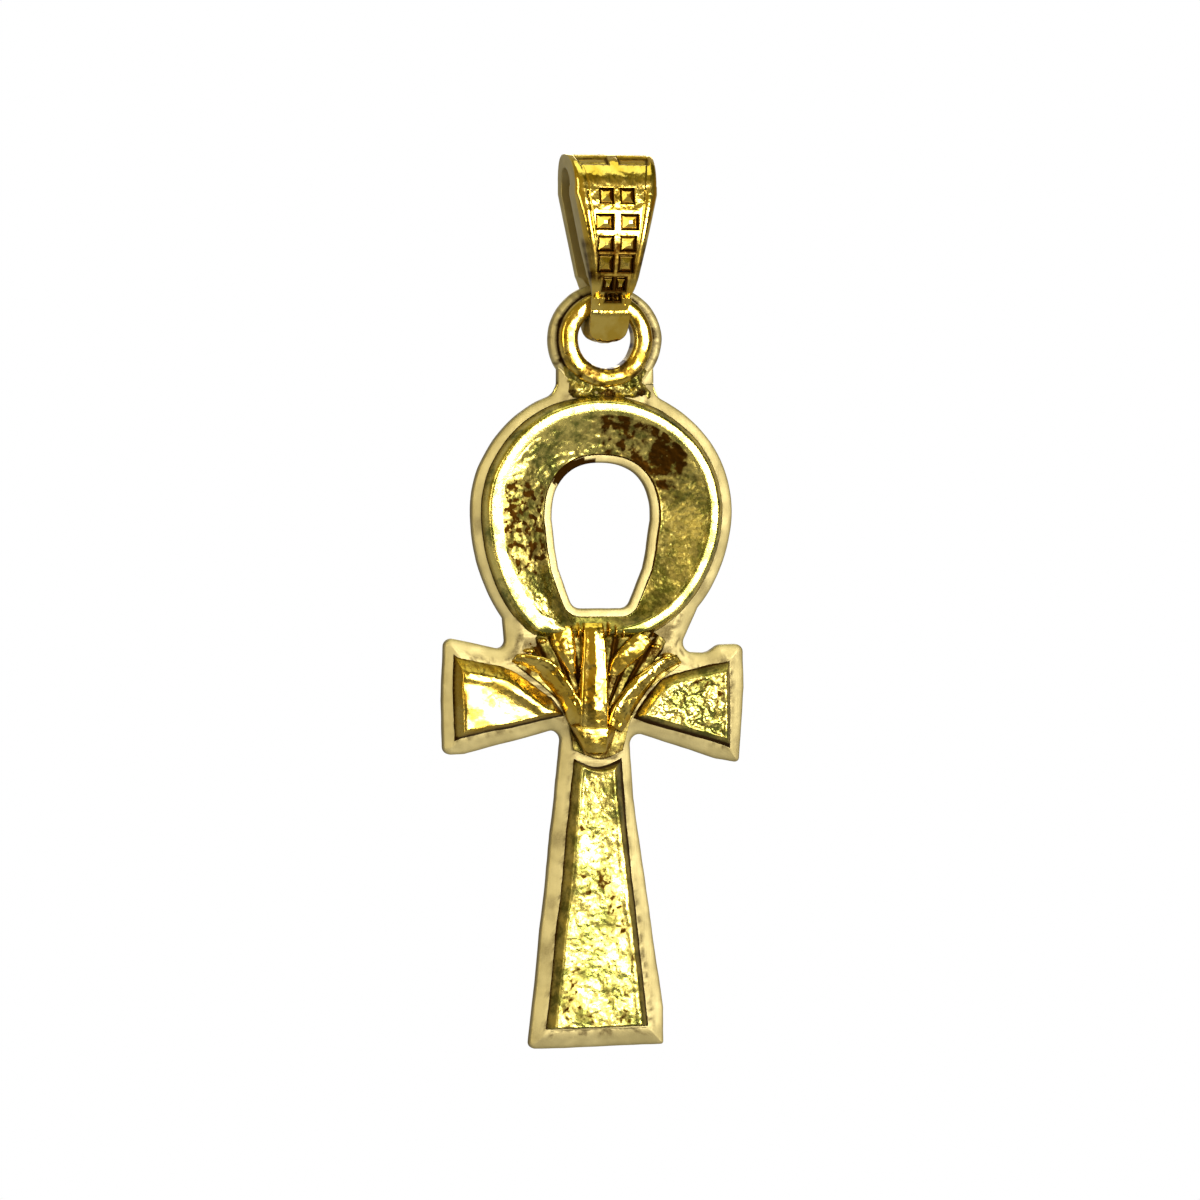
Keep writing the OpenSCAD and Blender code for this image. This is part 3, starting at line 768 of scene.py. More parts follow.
class PENDANT_OT_lotus(bpy.types.Operator):
    """Lotus at the crossing: cup, middle petal, side petals and the petals between them"""
    bl_idname = "pendant.make_lotus"
    bl_label = "Lotus"

    def side_petal(self, rows, shares, drops):
        """Rows across a side petal, with how far each inner point lies below the crest."""
        made = []
        for ax, az, bx, bz, top in rows:
            heights = [RELIEF_FOOT] + [top - d for d in drops] + [RELIEF_FOOT]
            made.append([(ax + (bx - ax) * t, az + (bz - az) * t, max(h, RELIEF_FOOT))
                         for t, h in zip(shares, heights)])
        return made

    def middle_petal(self, high):
        """Rows across the middle petal: steep sides and a low crest."""
        made = []
        for z, a, b, rise in MIDDLE:
            w, top = b - a, high + rise
            made.append([(a, z, RELIEF_FOOT), (a + 0.02, z, top - 0.42),
                         (a + 0.07 * w, z, top - 0.14), (a + 0.28 * w, z, top - 0.07),
                         (a + 0.5 * w, z, top), (a + 0.72 * w, z, top - 0.02),
                         (a + 0.9 * w, z, top - 0.06), (b - 0.02, z, top - 0.4),
                         (b, z, RELIEF_FOOT)])
        return made

    def cup(self):
        """Rows across the cup that holds the petals."""
        made = []
        for z, a, b, c, d, rise in CUP:
            top = CUP_H + rise
            made.append([(a, z, RELIEF_FOOT), (a + 0.02, z, top - 0.3), (b, z, top - 0.06),
                         (b + 0.12, z, top), ((b + c) / 2, z, top + 0.04),
                         (c - 0.1, z, top + 0.02), (c, z, top - 0.03),
                         ((c + d) / 2, z, top - 0.25), (d, z, top - 0.5),
                         (d + 0.04, z, RELIEF_FOOT)])
        return made

    def ground(self, s):
        """The rough ground between the petals, dark with painted shade."""
        flat = between([(-1.25, -26.0), (0, -26.4), (1.0, -26.0)],
                       [(-3.9, -22.2), (-1.5, -21.5), (1.5, -21.5), (3.6, -22.2)],
                       [(-1.25, -26.0), (-1.6, -24.4), (-2.35, -23.4), (-3.9, -22.2)],
                       [(1.0, -26.0), (1.4, -24.5), (2.15, -23.3), (3.6, -22.2)], 90, 90)
        x, z = flat[..., 0], flat[..., 1]
        # painted shade, uneven
        stain_and_shade = 0.5 + 0.2 * rough(x, z, 0.4, 121)
        level = 0.83 + 0.02 * rough(x, z, 0.3, 123)
        piece = tray("lotus_ground", np.stack([x, z, level], -1), finish_of(s, "textured"), stain_and_shade)
        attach(piece, "ankh")
        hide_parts("ankh")

    def petal(self, s, name, rows, size, dark=0.0, grit=1.0, fold=0.0):
        """One form through its rows; dark is an even darkening of the whole form, painted
        shade where it lies deep, grit its texture, and fold the depth of the creases that
        fan out from the cup."""
        top = net_surface(np.array(rows, float), *size)
        x, z = top[..., 0], top[..., 1]
        fan = np.degrees(np.arctan2(x + 0.45, z + 25.8)) / 8.5
        crease = np.abs(fan - np.round(fan)) * 2
        top[..., 2] -= fold * step(0.45, 1.0, crease) * (top[..., 2] > 0.7)
        top[..., 2] += 0.012 * grit * rough(x, z, 0.35, 81) + 0.01 * grit * rough(x, z, 0.9, 84)
        v = np.linspace(0, 1, size[1])[None, :]
        # painted shade along both feet of the form and in its creases, random patches, and dirt and
        # painted shade in the hollows
        side = step(0.1, 0.0, np.minimum(v, 1 - v))
        stain_and_shade = dark + 0.9 * side + 0.2 * step(0.0, 0.7, rough(x, z, 0.5, 87))
        stain_and_shade = stain_and_shade + 5 * fold * step(0.35, 1.0, crease)
        stain_and_shade = stain_and_shade + 5 * np.clip(hollows(top[..., 2]), 0, 0.1)
        piece = tray(name, top, finish_of(s, "textured" if fold else "polished"), stain_and_shade)
        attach(piece, "ankh")
        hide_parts("ankh")

    def execute(self, context):
        s = settings()
        self.ground(s)
        # dark: painted shade over the sunk heart
        self.petal(s, "lotus_heart", HEART, (110, 150), dark=0.42, grit=3.0, fold=0.12)
        left = self.side_petal(SIDE_LEFT, (0, 0.04, 0.4, 0.6, 0.93, 1), (0.42, 0.1, 0.0, 0.01))
        right = self.side_petal(SIDE_RIGHT, (0, 0.04, 0.26, 0.4, 0.93, 1), (0.42, 0.1, 0.03, 0.0))
        self.petal(s, "lotus_petal_left", left, (150, 64), grit=2.0)
        self.petal(s, "lotus_petal_right", right, (150, 64), grit=2.0)
        self.petal(s, "lotus_petal_middle", self.middle_petal(mm(s.petal_height)), (120, 60))
        self.petal(s, "lotus_inner_left", INNER_LEFT, (80, 50), dark=0.12, grit=1.6)
        self.petal(s, "lotus_inner_right", INNER_RIGHT, (80, 50), dark=0.1, grit=1.8)
        self.petal(s, "lotus_cup", self.cup(), (90, 80))
        return {"FINISHED"}


class PENDANT_OT_ring(bpy.types.Operator):
    """Ring on top of the loop: a pale flange, a round worn wire and the solder at its neck"""
    bl_idname = "pendant.make_ring"
    bl_label = "Ring"

    def ring(self, s, wire):
        """The ring: a flat flange with a flattened wire on its front."""
        hole, outer = mm(s.ring_hole), mm(s.ring_radius)
        tube = WIRE_OUTSIDE - wire
        # radius and height round the section, from the back of the flange outwards
        section = [(outer - 0.12, 0.02), (outer - 0.03, 0.04), (outer, 0.1), (outer, 0.28),
                   (outer - 0.02, 0.42), (outer - 0.08, 0.5), (outer - 0.2, 0.55),
                   (outer - 0.32, 0.58), (2.15, 0.6)]
        for k in range(27):
            t = math.radians(-6 + 186 * k / 26)
            across, rise = math.cos(t), max(0.0, math.sin(t))
            section.append((wire + tube * math.copysign(abs(across) ** 0.85, across),
                            0.72 + 0.46 * rise ** 0.48))
        section += [(hole, 0.6), (hole, 0.4), (hole, 0.2), (hole + 0.04, 0.08),
                    (hole + 0.14, 0.02), (wire, 0.02)]
        section = np.array(section)
        turns = 360
        angles = np.linspace(0, 2 * math.pi, turns, endpoint=False)[None, :]
        r = section[:, :1] + 0 * angles
        h = section[:, 1:] + 0 * angles
        side = 1 + 0.075 * step(2.1, 2.35, r) * step(0.2, 0.8, np.cos(angles))
        x, z = r * side * np.cos(angles), RING_Z + r * np.sin(angles)
        worn = 0.02 * rough(x, z, 1.1, 91) + 0.005 * rough(x, z, 0.3, 92)
        h = h + step(0.62, 0.8, h) * worn
        # painted shade: a dark line where the wire rises from the flange and on the wall of the
        # hole; then random dark patches, more towards the bottom
        stain_and_shade = np.exp(-((r - WIRE_OUTSIDE) / 0.05) ** 2) * step(0.5, 0.56, h) * step(0.95, 0.7, h)
        stain_and_shade = stain_and_shade + 0.35 * step(hole + 0.1, hole, r) * step(0.95, 0.6, h)
        lower = step(-0.1, 0.9, -np.sin(angles))
        stain_and_shade = stain_and_shade + (0.25 + 0.35 * lower) * step(0.0, 0.6, rough(x, z, 0.4, 94))
        # the flange's edge and front, and the back, are satin
        dull = np.concatenate([np.arange(2, 8), np.arange(len(section) - 2, len(section))])
        dull = (dull[:, None] * turns + np.arange(turns)).ravel()
        piece = make_piece("ankh_ring", upright(wobble(np.stack([x, z, h], -1))),
                           grid_faces(len(section), turns, True, True), finish_of(s, "polished"),
                           stain_and_shade, second=(finish_of(s, "satin"), dull))
        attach(piece, "ankh")
        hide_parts("ankh")

    def solder(self, s, wire):
        """Rough lumps of solder between the ring and the loop, with one bright blob."""
        rows, columns = 120, 170
        flat = between([(-2.7, -10.75), (0, -10.4), (2.8, -10.75)],
                       [(-1.95, -8.5), (-1.3, -8.85), (0, -9.2), (1.3, -8.85), (2.05, -8.5)],
                       [(-2.7, -10.75), (-2.15, -9.7), (-1.95, -8.5)],
                       [(2.8, -10.75), (2.3, -9.7), (2.05, -8.5)], rows, columns)
        x, z = flat[..., 0], flat[..., 1]
        u, v = np.linspace(0, 1, columns)[None, :], np.linspace(0, 1, rows)[:, None]
        rise = step(0, 0.22, u) * step(1, 0.78, u) * step(0, 0.3, v) * step(1, 0.97, v)
        lumps = 0.14 * rough(x, z, 0.45, 101) + 0.14 * (dimples(x, z, 0.5, 103) - 0.3)
        blob = 0.2 * np.exp(-(((x + 0.25) / 0.22) ** 2 + ((z + 9.85) / 0.16) ** 2))
        wire_rise = 0.22 * np.exp(-((np.hypot(x, z - RING_Z) - wire) / 0.42) ** 2)
        height = 0.5 + rise * (0.36 + lumps + blob + wire_rise)
        # dark patches, dirt and painted shade in the hollows, and none on the blob
        stain_and_shade = 0.25 + 0.4 * step(-0.3, 0.6, rough(x, z, 0.4, 107))
        stain_and_shade = stain_and_shade + 6 * np.clip(hollows(height), 0, 0.1)
        stain_and_shade = stain_and_shade * (1 - step(0.05, 0.15, blob))
        piece = tray("ankh_solder", np.stack([x, z, height], -1), finish_of(s, "textured"), stain_and_shade)
        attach(piece, "ankh")
        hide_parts("ankh")

    def execute(self, context):
        s = settings()
        wire = (mm(s.ring_hole) + WIRE_OUTSIDE) / 2
        self.ring(s, wire)
        self.solder(s, wire)
        return {"FINISHED"}


# The bail

FOOT_HALF = 0.98     # half width of the strap at the hinge


def bail_half(s, z):
    """Half width of the strap at a height: it widens evenly from the hinge to the top."""
    share = np.clip((z - HINGE_Z) / (-1.2 - HINGE_Z), 0, 1)
    return FOOT_HALF + (mm(s.bail_half_width) - FOOT_HALF) * share


# each row of cells: middle height, half height, and the inner and outer side of its cells
CELL_ROWS = ((-1.26, 0.36, 0.15, 0.82), (-2.42, 0.36, 0.16, 1.0), (-3.38, 0.35, 0.15, 0.9),
             (-4.27, 0.38, 0.12, 0.82), (-5.17, 0.29, 0.06, 0.52), (-5.78, 0.17, 0.06, 0.34))
CELL_SHIFT = -0.02   # the cells stand a little to the left
# columns of the bail's skin: the inner face, each side, each rounded brow and the outer face
INNER, SIDE, BROW, FACE = 8, 4, 10, 120


def cell_rows(s):
    """The rows of cells in use, from the top."""
    return CELL_ROWS[:s.cell_rows]


def front_depth(z):
    """Depth of the raised front ahead of the hinge: a long, shallow belly."""
    zs = [-6.9, -6.5, -6.2, -5.9, -5.5, -5.0, -4.3, -3.4, -2.9, -2.4, -1.9, -1.4, -0.8, -0.2]
    ds = [0.7, 0.9, 1.08, 1.26, 1.45, 1.63, 1.8, 1.93, 1.965, 1.965, 1.935, 1.86, 1.74, 1.58]
    return np.interp(z, zs, ds)


class PENDANT_OT_bail(bpy.types.Operator):
    """Folded bail: a thick front with sunk cells, a bend over the chain and a thin back"""
    bl_idname = "pendant.make_bail"
    bl_label = "Bail"

    def stations(self):
        """Places up the front, over the bend, down the back and round the foot: the height
        of the middle there, and the angle in radians at which the strap lies from it."""
        middle, turn = [], []
        for count, z0, z1, t0, t1 in ((330, HINGE_Z, BEND_Z, 180, 180),
                                      (110, BEND_Z, BEND_Z, 180, 0),
                                      (60, BEND_Z, HINGE_Z, 0, 0),
                                      (150, HINGE_Z, HINGE_Z, 0, -180)):
            k = np.arange(count) / count
            middle.append(z0 + (z1 - z0) * k)
            turn.append(np.radians(t0 + (t1 - t0) * k))
        return np.concatenate(middle), np.concatenate(turn)

    def outside(self, middle, aim):
        """Distance from each station's middle to the strap's outline, seen from the side."""
        strap = ring_of([(-1.18, 0.6, 0.8), (1.35, 0.6, 1.2), (1.15, HINGE_Z - 0.7, 0.7),
                         (0.4, -7.82, 0.35), (-0.5, -7.82, 0.4), (-1.08, HINGE_Z - 0.8, 0.8)],
                        0, 0.05)
        far = np.zeros(len(middle))
        for k, (z, d) in enumerate(zip(middle, aim)):
            a = strap - (0, z)
            b = np.roll(a, -1, 0)
            cross = d[0] * (b - a)[:, 1] - d[1] * (b - a)[:, 0]
            with np.errstate(divide="ignore", invalid="ignore"):
                reach = (a[:, 0] * (b - a)[:, 1] - a[:, 1] * (b - a)[:, 0]) / cross
                share = (a[:, 0] * d[1] - a[:, 1] * d[0]) / cross
            hit = (share >= -1e-6) & (share <= 1 + 1e-6) & (reach > 0)
            far[k] = reach[hit].max()
        return far

    def columns(self, s, middle, turn, aim):
        """Sideways place and distance from the middle of each column of the skin, at each
        station, then the half width of the field of cells."""
        angle = np.degrees(turn)
        straight = np.abs(np.sin(turn)) < 1e-6
        front, back = straight & (aim[:, 0] < 0), straight & (aim[:, 0] > 0)
        bend = (middle == BEND_Z) & ~front & ~back
        foot = (middle == HINGE_Z) & (turn < -1e-6)
        # crest is the middle of the outer face, edge its sides and inside the inner face
        edge = self.outside(middle, aim)
        crest = edge.copy()
        crest[front] = front_depth(middle[front])
        crest = np.where(bend, np.maximum(edge, np.interp(
            angle, [0, 60, 90, 112, 130, 150, 165, 180],
            [1.3, 1.44, 1.45, 1.5, 1.58, 1.65, 1.7, 1.75])), crest)
        tail = np.interp(angle, [-180, -170, -160, -150, -140, -125],
                         [1.46, 1.34, 1.25, 1.22, 1.3, 1.2])
        crest = np.where(foot & (angle < -125), np.maximum(edge, tail), crest)
        edge = np.where(front, np.minimum(1.45, crest - 0.22), np.where(bend, np.interp(
            angle, [0, 60, 90, 135, 180], [1.3, 1.44, 1.44, 1.45, 1.45]), edge))
        edge = np.where(foot, np.minimum(edge, crest - 0.14), edge)
        inside = np.where(foot, 0.86, 0.84)
        inside = np.where(front, np.interp(middle, [-4.6, -3.6], [0.84, 0.64]), inside)
        inside = np.where(bend, np.interp(angle, [110, 180], [0.84, 0.64]), inside)
        # half width, narrower on the back leaf and rounded off below tip_z
        tip_z, tip_half = -6.95, 0.9
        out_z = middle + crest * aim[:, 1]
        wide = bail_half(s, np.minimum(out_z, -1.2))
        wide = np.where(out_z < HINGE_Z,
                        np.interp(out_z, [-7.0, HINGE_Z], [tip_half, FOOT_HALF]), wide)
        below = np.clip((tip_z - out_z) / 0.93, 0, 0.985)
        wide = np.where(out_z < tip_z, tip_half * (1 - below ** 4) ** 0.45, wide)
        thin = 0.13 * back + bend * 0.13 * step(90, 0, angle)
        wide = wide - thin - np.where(front, 0.06, 0.0) - 0.08 * bend * step(90, 180, angle)
        bevel = np.interp(out_z, [-6.2, -5.7, -5.1, -4.3, -2.4, -1.2],
                          [0.3, 0.22, 0.28, 0.36, 0.46, 0.56])
        bevel = np.where(front | (foot & (angle < -120)), bevel, np.where(
            bend, np.interp(angle, [90, 135, 180], [0.06, 0.35, 0.56]), 0.08))
        bevel = np.minimum(np.where(foot, np.maximum(bevel, 0.3), bevel), 0.45 * wide)
        field = wide - bevel
        round_off = np.where(foot, 0.05, 0.0)
        round_off = round_off + np.where(front, 0.12 * step(-5.2, HINGE_Z, middle), 0)

        def side(v):
            """Column on the side of the strap, from its inner face at 0 to its edge at 1."""
            return wide - 0.02 * (1 - v), inside + (edge - inside) * v

        def brow(v):
            """Column on the rounded brow, from the edge at 0 to the field at 1."""
            flat = 1 - math.cos(math.pi / 2 * v) ** 0.8
            rise = math.sin(math.pi / 2 * v) ** 0.8
            return wide + (field - wide) * flat, edge + (crest - round_off - edge) * rise

        def face(u):
            """Column on the outer face, from -1 to 1 across the field."""
            rounded = 0.03 * step(0.93, 1.0, abs(u)) * ~foot
            return u * field, crest - rounded - round_off * abs(u) ** 2.4

        levels = (0.02, 0.3, 0.7, 0.94)
        left = [side(v) for v in levels] + [brow(v) for v in np.linspace(0, 1, BROW + 2)[1:-1]]
        right = [brow(v) for v in np.linspace(1, 0, BROW + 2)[1:-1]]
        right += [side(v) for v in reversed(levels)]
        made = [(share * (wide - 0.06), inside) for share in np.linspace(1, -1, INNER)]
        made += [(-x, r) for x, r in left] + [face(u) for u in np.linspace(-1, 1, FACE)] + right
        x, r = (np.stack([column[k] for column in made], 1) for k in (0, 1))
        return x, r, field

    def clear_of_ring(self, points):
        """Narrows the strap where it passes through the ring, for the whole of the swing."""
        hole, away_from_hinge = 1.26, 2.04
        near = np.hypot(points[..., 1], points[..., 2] - HINGE_Z)
        room = np.sqrt(np.clip(hole ** 2 - (away_from_hinge - near) ** 2, 0.02, None))
        limit = np.where((near < 1.9) & (points[..., 2] < HINGE_Z + 0.9), room, 9)
        points[..., 0] = np.clip(points[..., 0], -limit, limit)

    def execute(self, context):
        s = settings()
        middle, turn = self.stations()
        aim = np.stack([np.cos(turn), np.sin(turn)], -1)
        x, r, field = self.columns(s, middle, turn, aim)
        y, z = r * aim[:, :1], middle[:, None] + r * aim[:, 1:]
        on_face = np.zeros(x.shape)
        on_face[:, INNER + SIDE + BROW:INNER + SIDE + BROW + FACE] = 1
        carve, stain_and_shade = self.cells(s, x, y, z, field[:, None])
        carve, stain_and_shade = self.bars(x, y, z, carve, stain_and_shade)
        carve, stain_and_shade = carve * on_face, stain_and_shade * on_face
        skin = 0.008 * rough(x * 1.3, z + y, 0.3, 111) + 0.01 * grain(x, z + y, 0.9, 113)
        r = r - carve + skin * (r > 0.95)
        shadow = step(-3.0, -3.5, z) * step(-5.4, -4.8, z) * (y < -1.1)
        stain_and_shade = np.maximum(stain_and_shade, shadow * (0.5 + 0.25 * rough(x, z, 0.5, 119)))
        points = np.stack([x, r * aim[:, :1], middle[:, None] + r * aim[:, 1:]], -1)
        points = points @ np.array(Matrix.Rotation(BAIL_TURN, 3, "Z").transposed())
        self.clear_of_ring(points)
        # the inner face and the sides are satin
        column = np.arange(x.size) % x.shape[1]
        dull = np.nonzero((column < INNER + SIDE) | (column >= x.shape[1] - SIDE - 1))[0]
        piece = make_piece("bail_strap", points * MM, grid_faces(*x.shape, True, True),
                           finish_of(s, "polished"), stain_and_shade,
                           (finish_of(s, "satin"), dull))
        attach(piece, "bail")
        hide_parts("bail")
        return {"FINISHED"}

    def cells(self, s, x, y, z, field):
        """Depth of the sunk cells and of the line that frames them, and the painted shade in and
        round them.
        """
        carve, stain_and_shade = np.zeros(x.shape), np.zeros(x.shape)
        front = (y < -0.3) & (z > -6.1) & (z < -0.7)
        for z0, h0, near, far in cell_rows(s):
            for way in (-1, 1):
                middle = CELL_SHIFT + way * (near + far) / 2
                beside = np.abs(x - middle) - (far - near) / 2
                gap = np.maximum(beside, np.abs(z - z0) - h0)
                pit = step(0.02, -0.06, gap) * front
                moat = step(0.04, -0.02, gap) * step(-0.2, -0.1, gap) * front
                carve = np.maximum(carve, 0.2 * pit)
                # painted shade: dark moats round the cells and a little in the pits
                stain_and_shade = np.maximum(stain_and_shade, 0.85 * moat + 0.2 * pit)
                # painted shade round the cells of the lower rows, where the front tilts down
                around = step(0.16, 0.02, gap) * step(-2.9, -3.9, z) * front
                stain_and_shade = np.maximum(stain_and_shade, 0.75 * around)
        frame_line = np.abs(np.abs(x) - (field - 0.06))
        carve = carve + 0.05 * step(0.06, 0.0, frame_line) * front * (z < -1.0)
        return carve, stain_and_shade

    def bars(self, x, y, z, carve, stain_and_shade):
        """The oblong sinkings between the bars over the bend, added to the cells."""
        over = (y > -1.75) & (y < 0.9) & (z > -0.45)
        along = np.degrees(np.arctan2(z - BEND_Z, -y))
        mm_per_degree = 0.027
        for start, end in ((38, 62), (68, 96), (102, 130)):
            dx = np.minimum(np.abs(x - 0.95), np.abs(x + 0.95)) - 0.72
            da = (np.abs(along - (start + end) / 2) - (end - start) / 2) * mm_per_degree
            gap = np.maximum(dx, da)
            carve = np.maximum(carve, 0.12 * (step(0.03, -0.05, gap) * over))
            # painted shade round the edges of the sinkings
            stain_and_shade = np.maximum(stain_and_shade, 0.6 * step(0.03, -0.03, gap) * over * step(-0.2, -0.08, gap))
        return carve, stain_and_shade


class PENDANT_OT_studs(bpy.types.Operator):
    """Small pyramids in the bail's cells and short ribs on the lotus, set out by nodes"""
    bl_idname = "pendant.make_studs"
    bl_label = "Studs and ribs"

    def execute(self, context):
        s = settings()
        sunk, gap, tall = 0.12, 0.06, 0.17
        spots = []
        for z, h, near, far in cell_rows(s):
            slope = math.atan2(front_depth(z + 0.2) - front_depth(z - 0.2), 0.4)
            for way in (-1, 1):
                x = CELL_SHIFT + way * (near + far) / 2
                spots.append((x, sunk - float(front_depth(z)), z, (far - near) / 2 - gap,
                              h - gap, tall, math.pi / 2 + slope))
        turn = Matrix.Rotation(BAIL_TURN, 3, "Z")
        places = [turn @ Vector(p[:3]) for p in spots]
        sizes = [p[3:6] for p in spots]
        turns = [(p[6], 0, BAIL_TURN) for p in spots]
        self.spread("bail_studs", places, sizes, turns, 4, 1.0, finish_of(s, "polished"),
                    "bail", "bail_gold")
        # x, z and height of a rib, and half its width, length and thickness
        ribs = [(-1.15, -20.62, 0.9, 0.1, 0.36, 0.5), (0.22, -20.6, 0.95, 0.09, 0.36, 0.45),
                (0.55, -20.66, 0.9, 0.09, 0.3, 0.45), (0.9, -20.7, 0.86, 0.1, 0.3, 0.45),
                (2.45, -21.35, 0.9, 0.28, 0.12, 0.4), (3.0, -21.75, 0.8, 0.3, 0.13, 0.35),
                (-3.3, -21.55, 0.75, 0.3, 0.12, 0.3), (-2.75, -21.1, 0.8, 0.22, 0.16, 0.35)]
        places = [Vector((x, RING_H - h, z)) for x, z, h, a, b, c in ribs]
        self.spread("lotus_ribs", places, [(a, b, c) for x, z, h, a, b, c in ribs],
                    [(math.pi / 2, 0, 0)] * len(ribs), 24, 0.0, finish_of(s, "polished"),
                    "ankh", "ankh_gold")
        return {"FINISHED"}

    def spread(self, name, places, sizes, turns, sides, pointed, material, body, slot):
        """Instances one small form on each place with its own size and turn."""
        mesh = bpy.data.meshes.new(name)
        mesh.from_pydata([tuple(p * MM) for p in places], [], [])
        for label, rows in (("size", sizes), ("turn", turns)):
            layer = mesh.attributes.new(label, "FLOAT_VECTOR", "POINT")
            layer.data.foreach_set("vector", [v * (MM if label == "size" else 1)
                                              for row in rows for v in row])
        carrier = bpy.data.objects.new(name, mesh)
        bpy.context.collection.objects.link(carrier)
        tree = bpy.data.node_groups.new(name, "GeometryNodeTree")
        tree.interface.new_socket("Geometry", in_out="INPUT", socket_type="NodeSocketGeometry")
        sides_in = tree.interface.new_socket("Sides", in_out="INPUT", socket_type="NodeSocketInt")
        tree.interface.new_socket("Geometry", in_out="OUTPUT", socket_type="NodeSocketGeometry")
        entry = add(tree, "NodeGroupInput")
        size = add(tree, "GeometryNodeInputNamedAttribute", values=[("Name", "size")],
                   data_type="FLOAT_VECTOR")
        turn = add(tree, "GeometryNodeInputNamedAttribute", values=[("Name", "turn")],
                   data_type="FLOAT_VECTOR")
        if pointed:
            form = add(tree, "GeometryNodeMeshCone", [("Vertices", entry.outputs["Sides"])],
                       [("Radius Top", 0.3), ("Radius Bottom", 1.4142), ("Depth", 1.0)])
            shape = add(tree, "GeometryNodeTransform", [("Geometry", form.outputs["Mesh"])],
                        [("Rotation", (0, 0, math.pi / 4))])
        else:
            form = add(tree, "GeometryNodeMeshUVSphere", [("Segments", entry.outputs["Sides"])],
                       [("Rings", 14), ("Radius", 1.0)])
            shape = add(tree, "GeometryNodeSetShadeSmooth", [("Geometry", form.outputs["Mesh"])])
        euler = add(tree, "FunctionNodeEulerToRotation", [("Euler", turn.outputs["Attribute"])])
        copies = add(tree, "GeometryNodeInstanceOnPoints",
                     [("Points", entry.outputs["Geometry"]), ("Instance", shape.outputs[0]),
                      ("Rotation", euler.outputs[0]), ("Scale", size.outputs["Attribute"])])
        real = add(tree, "GeometryNodeRealizeInstances", [("Geometry", copies.outputs[0])])
        coat = add(tree, "GeometryNodeSetMaterial", [("Geometry", real.outputs[0])],
                   [("Material", material)])
        add(tree, "NodeGroupOutput", [("Geometry", coat.outputs[0])])
        modifier = carrier.modifiers.new(name, "NODES")
        modifier.node_group = tree
        modifier[sides_in.identifier] = sides
        view = bpy.context.evaluated_depsgraph_get()
        made = bpy.data.meshes.new_from_object(carrier.evaluated_get(view))
        made.name = name
        carrier.modifiers.remove(modifier)
        carrier.data = made
        for label in ("size", "turn"):
            if label in made.attributes:
                made.attributes.remove(made.attributes[label])
        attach(carrier, body)
        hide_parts(body)


# The stage

AIM = Vector((-0.00007, 0, -0.01929))   # what the camera looks at
VIEW_AZIMUTH, VIEW_ELEVATION, VIEW_LEAN = -13, 2, 0.6
VIEW_DISTANCE = 0.375
VIEW_WIDTH = 0.05364                    # width of the view at the pendant
FLOOR_Z = -0.075


def away(azimuth, elevation):
    """Unit vector towards a place round the pendant; azimuth 0 is straight in front."""
    a, e = math.radians(azimuth), math.radians(elevation)
    return Vector((math.sin(a) * math.cos(e), -math.cos(a) * math.cos(e), math.sin(e)))


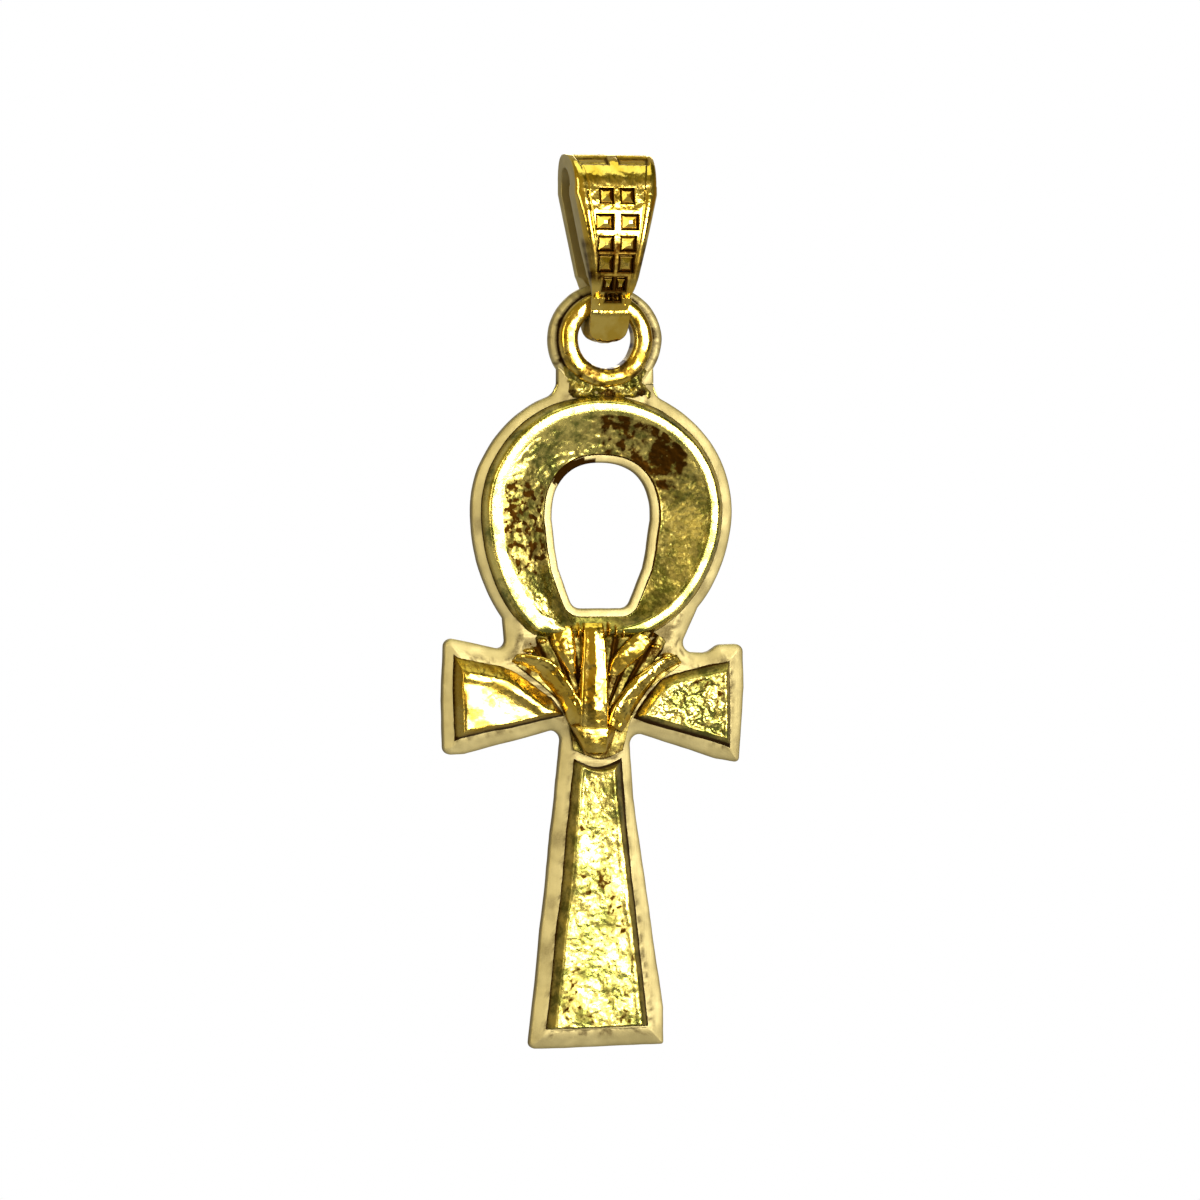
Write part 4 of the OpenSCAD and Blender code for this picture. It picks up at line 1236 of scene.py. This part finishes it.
class PENDANT_OT_stage(bpy.types.Operator):
    """White floor, soft studio light and the camera"""
    bl_idname = "pendant.make_stage"
    bl_label = "Stage"

    def softbox(self, name, azimuth, elevation, distance, size, power, tint="#FFFFFF"):
        """A rectangular light that faces the pendant."""
        light = bpy.data.lights.new(name, "AREA")
        light.shape = "RECTANGLE"
        light.size, light.size_y = size
        light.energy = power
        light.color = linear(tint)
        lamp = bpy.data.objects.new(name, light)
        lamp.location = AIM + away(azimuth, elevation) * distance
        lamp.rotation_euler = away(azimuth, elevation).to_track_quat("Z", "Y").to_euler()
        bpy.context.collection.objects.link(lamp)

    def white_paper(self):
        """White paper, dark where the metal mirrors the part of it nearest to the camera."""
        material = bpy.data.materials.new("white_paper")
        material.use_nodes = True
        tree = material.node_tree
        tree.nodes.clear()
        seen = add(tree, "ShaderNodeLightPath").outputs["Is Camera Ray"]
        spot = add(tree, "ShaderNodeTexCoord").outputs["Object"]
        depth = add(tree, "ShaderNodeSeparateXYZ", [("Vector", spot)]).outputs["Y"]
        mirrored = add(tree, "ShaderNodeMapRange", [("Value", depth)],
                       [("From Min", -0.2), ("From Max", -0.07), ("To Min", 0.06),
                        ("To Max", 0.42)])
        power = add(tree, "ShaderNodeMapRange",
                    [("Value", seen), ("To Min", mirrored.outputs[0])], [("To Max", 1.0)])
        glow = add(tree, "ShaderNodeEmission", [("Strength", power.outputs[0])])
        add(tree, "ShaderNodeOutputMaterial", [("Surface", glow.outputs[0])])
        return material

    def floor(self):
        """The plain floor below the pendant."""
        mesh = bpy.data.meshes.new("studio_floor")
        mesh.from_pydata([(-1.2, -0.6, FLOOR_Z), (1.2, -0.6, FLOOR_Z), (1.2, 0.6, FLOOR_Z),
                          (-1.2, 0.6, FLOOR_Z)], [], [(0, 1, 2, 3)])
        mesh.materials.append(self.white_paper())
        ground = bpy.data.objects.new("studio_floor", mesh)
        bpy.context.collection.objects.link(ground)

    def room(self, scene):
        """The room that the metal mirrors: brown below, olive above, darker to the right,
        grey behind, and plain white where the camera sees it."""
        world = scene.world or bpy.data.worlds.new("studio")
        scene.world = world
        world.use_nodes = True
        tree = world.node_tree
        tree.nodes.clear()
        way = add(tree, "ShaderNodeTexCoord").outputs["Generated"]
        axes = add(tree, "ShaderNodeSeparateXYZ", [("Vector", way)]).outputs
        height = add(tree, "ShaderNodeMapRange", [("Value", axes["Z"])],
                     [("From Min", -0.5), ("From Max", 0.7)]).outputs[0]
        walls = ramp(tree, height, [(0.0, linear("#6A4C14")), (0.3, linear("#907424")),
                                    (0.5, linear("#AA9238")), (1.0, linear("#988E48"))])
        sideways = add(tree, "ShaderNodeMapRange", [("Value", axes["X"])],
                       [("From Min", 0.1), ("From Max", 1.0)]).outputs[0]
        dim = ramp(tree, sideways, [(0.0, 1.0), (0.45, linear("#8C9878")),
                                    (0.75, linear("#8C9878")), (1.0, linear("#D0C0A0"))])
        both = add(tree, "ShaderNodeMix", [(6, walls), (7, dim)], [("Factor", 1.0)],
                   data_type="RGBA", blend_type="MULTIPLY")
        behind = add(tree, "ShaderNodeMapRange", [("Value", axes["Y"])],
                     [("From Min", 0.15), ("From Max", 0.4)]).outputs[0]
        mirrored = add(tree, "ShaderNodeMix", [("Factor", behind), (6, both.outputs[2])],
                       [(7, (0.42, 0.42, 0.42, 1))], data_type="RGBA")
        seen = add(tree, "ShaderNodeLightPath").outputs["Is Camera Ray"]
        shown = add(tree, "ShaderNodeMix", [("Factor", seen), (6, mirrored.outputs[2])],
                    [(7, (1, 1, 1, 1))], data_type="RGBA")
        light = add(tree, "ShaderNodeBackground", [("Color", shown.outputs[2])],
                    [("Strength", 1.0)])
        add(tree, "ShaderNodeOutputWorld", [("Surface", light.outputs[0])])

    def camera(self, scene):
        """Level with the pendant and a little to its left, far off, and leaning slightly."""
        lens = bpy.data.cameras.new("camera")
        lens.sensor_width = 36
        lens.lens = lens.sensor_width * VIEW_DISTANCE / VIEW_WIDTH
        camera = bpy.data.objects.new("camera", lens)
        back_way = away(VIEW_AZIMUTH, VIEW_ELEVATION)
        camera.location = AIM + back_way * VIEW_DISTANCE
        turn = back_way.to_track_quat("Z", "Y").to_matrix().to_4x4()
        lean = Matrix.Rotation(math.radians(VIEW_LEAN), 4, "Z")
        camera.rotation_euler = (turn @ lean).to_euler()
        bpy.context.collection.objects.link(camera)
        scene.camera = camera

    def execute(self, context):
        scene = context.scene
        scene.view_settings.view_transform = "Standard"
        self.floor()
        self.room(scene)
        self.softbox("key_box", 21, 5, 0.4, (0.19, 0.13), 2.1)
        self.softbox("back_box", 165, 25, 0.5, (0.3, 0.3), 0.8)
        self.softbox("left_box", -48, 8, 0.45, (0.12, 0.3), 0.6, "#FFFBEA")
        self.softbox("top_box", 20, 75, 0.4, (0.3, 0.3), 0.5, "#F4FFE8")
        self.camera(scene)
        return {"FINISHED"}


class PENDANT_PT_panel(bpy.types.Panel):
    """Sizes, colours and one button for each piece"""
    bl_idname = "PENDANT_PT_panel"
    bl_label = "Ankh pendant"
    bl_space_type = "VIEW_3D"
    bl_region_type = "UI"
    bl_category = "Pendant"

    def draw(self, context):
        s = context.scene.pendant
        for key in PendantSettings.__annotations__:
            self.layout.prop(s, key)
        for maker in MAKERS:
            self.layout.operator(maker.bl_idname)


MAKERS = (PENDANT_OT_plate, PENDANT_OT_loop, PENDANT_OT_panels, PENDANT_OT_lotus,
          PENDANT_OT_ring, PENDANT_OT_bail, PENDANT_OT_studs, PENDANT_OT_stage)
CLASSES = (PendantSettings, *MAKERS, PENDANT_PT_panel)


def register():
    """Adds the settings, the operators and the panel."""
    for cls in CLASSES:
        bpy.utils.register_class(cls)
    bpy.types.Scene.pendant = bpy.props.PointerProperty(type=PendantSettings)


def unregister():
    """Takes them out again."""
    del bpy.types.Scene.pendant
    for cls in reversed(CLASSES):
        bpy.utils.unregister_class(cls)


def main():
    """Builds every piece and the stage."""
    register()
    bpy.ops.pendant.make_plate()
    bpy.ops.pendant.make_loop()
    bpy.ops.pendant.make_panels()
    bpy.ops.pendant.make_lotus()
    bpy.ops.pendant.make_ring()
    bpy.ops.pendant.make_bail()
    bpy.ops.pendant.make_studs()
    bpy.ops.pendant.make_stage()


if __name__ == "__main__":
    main()
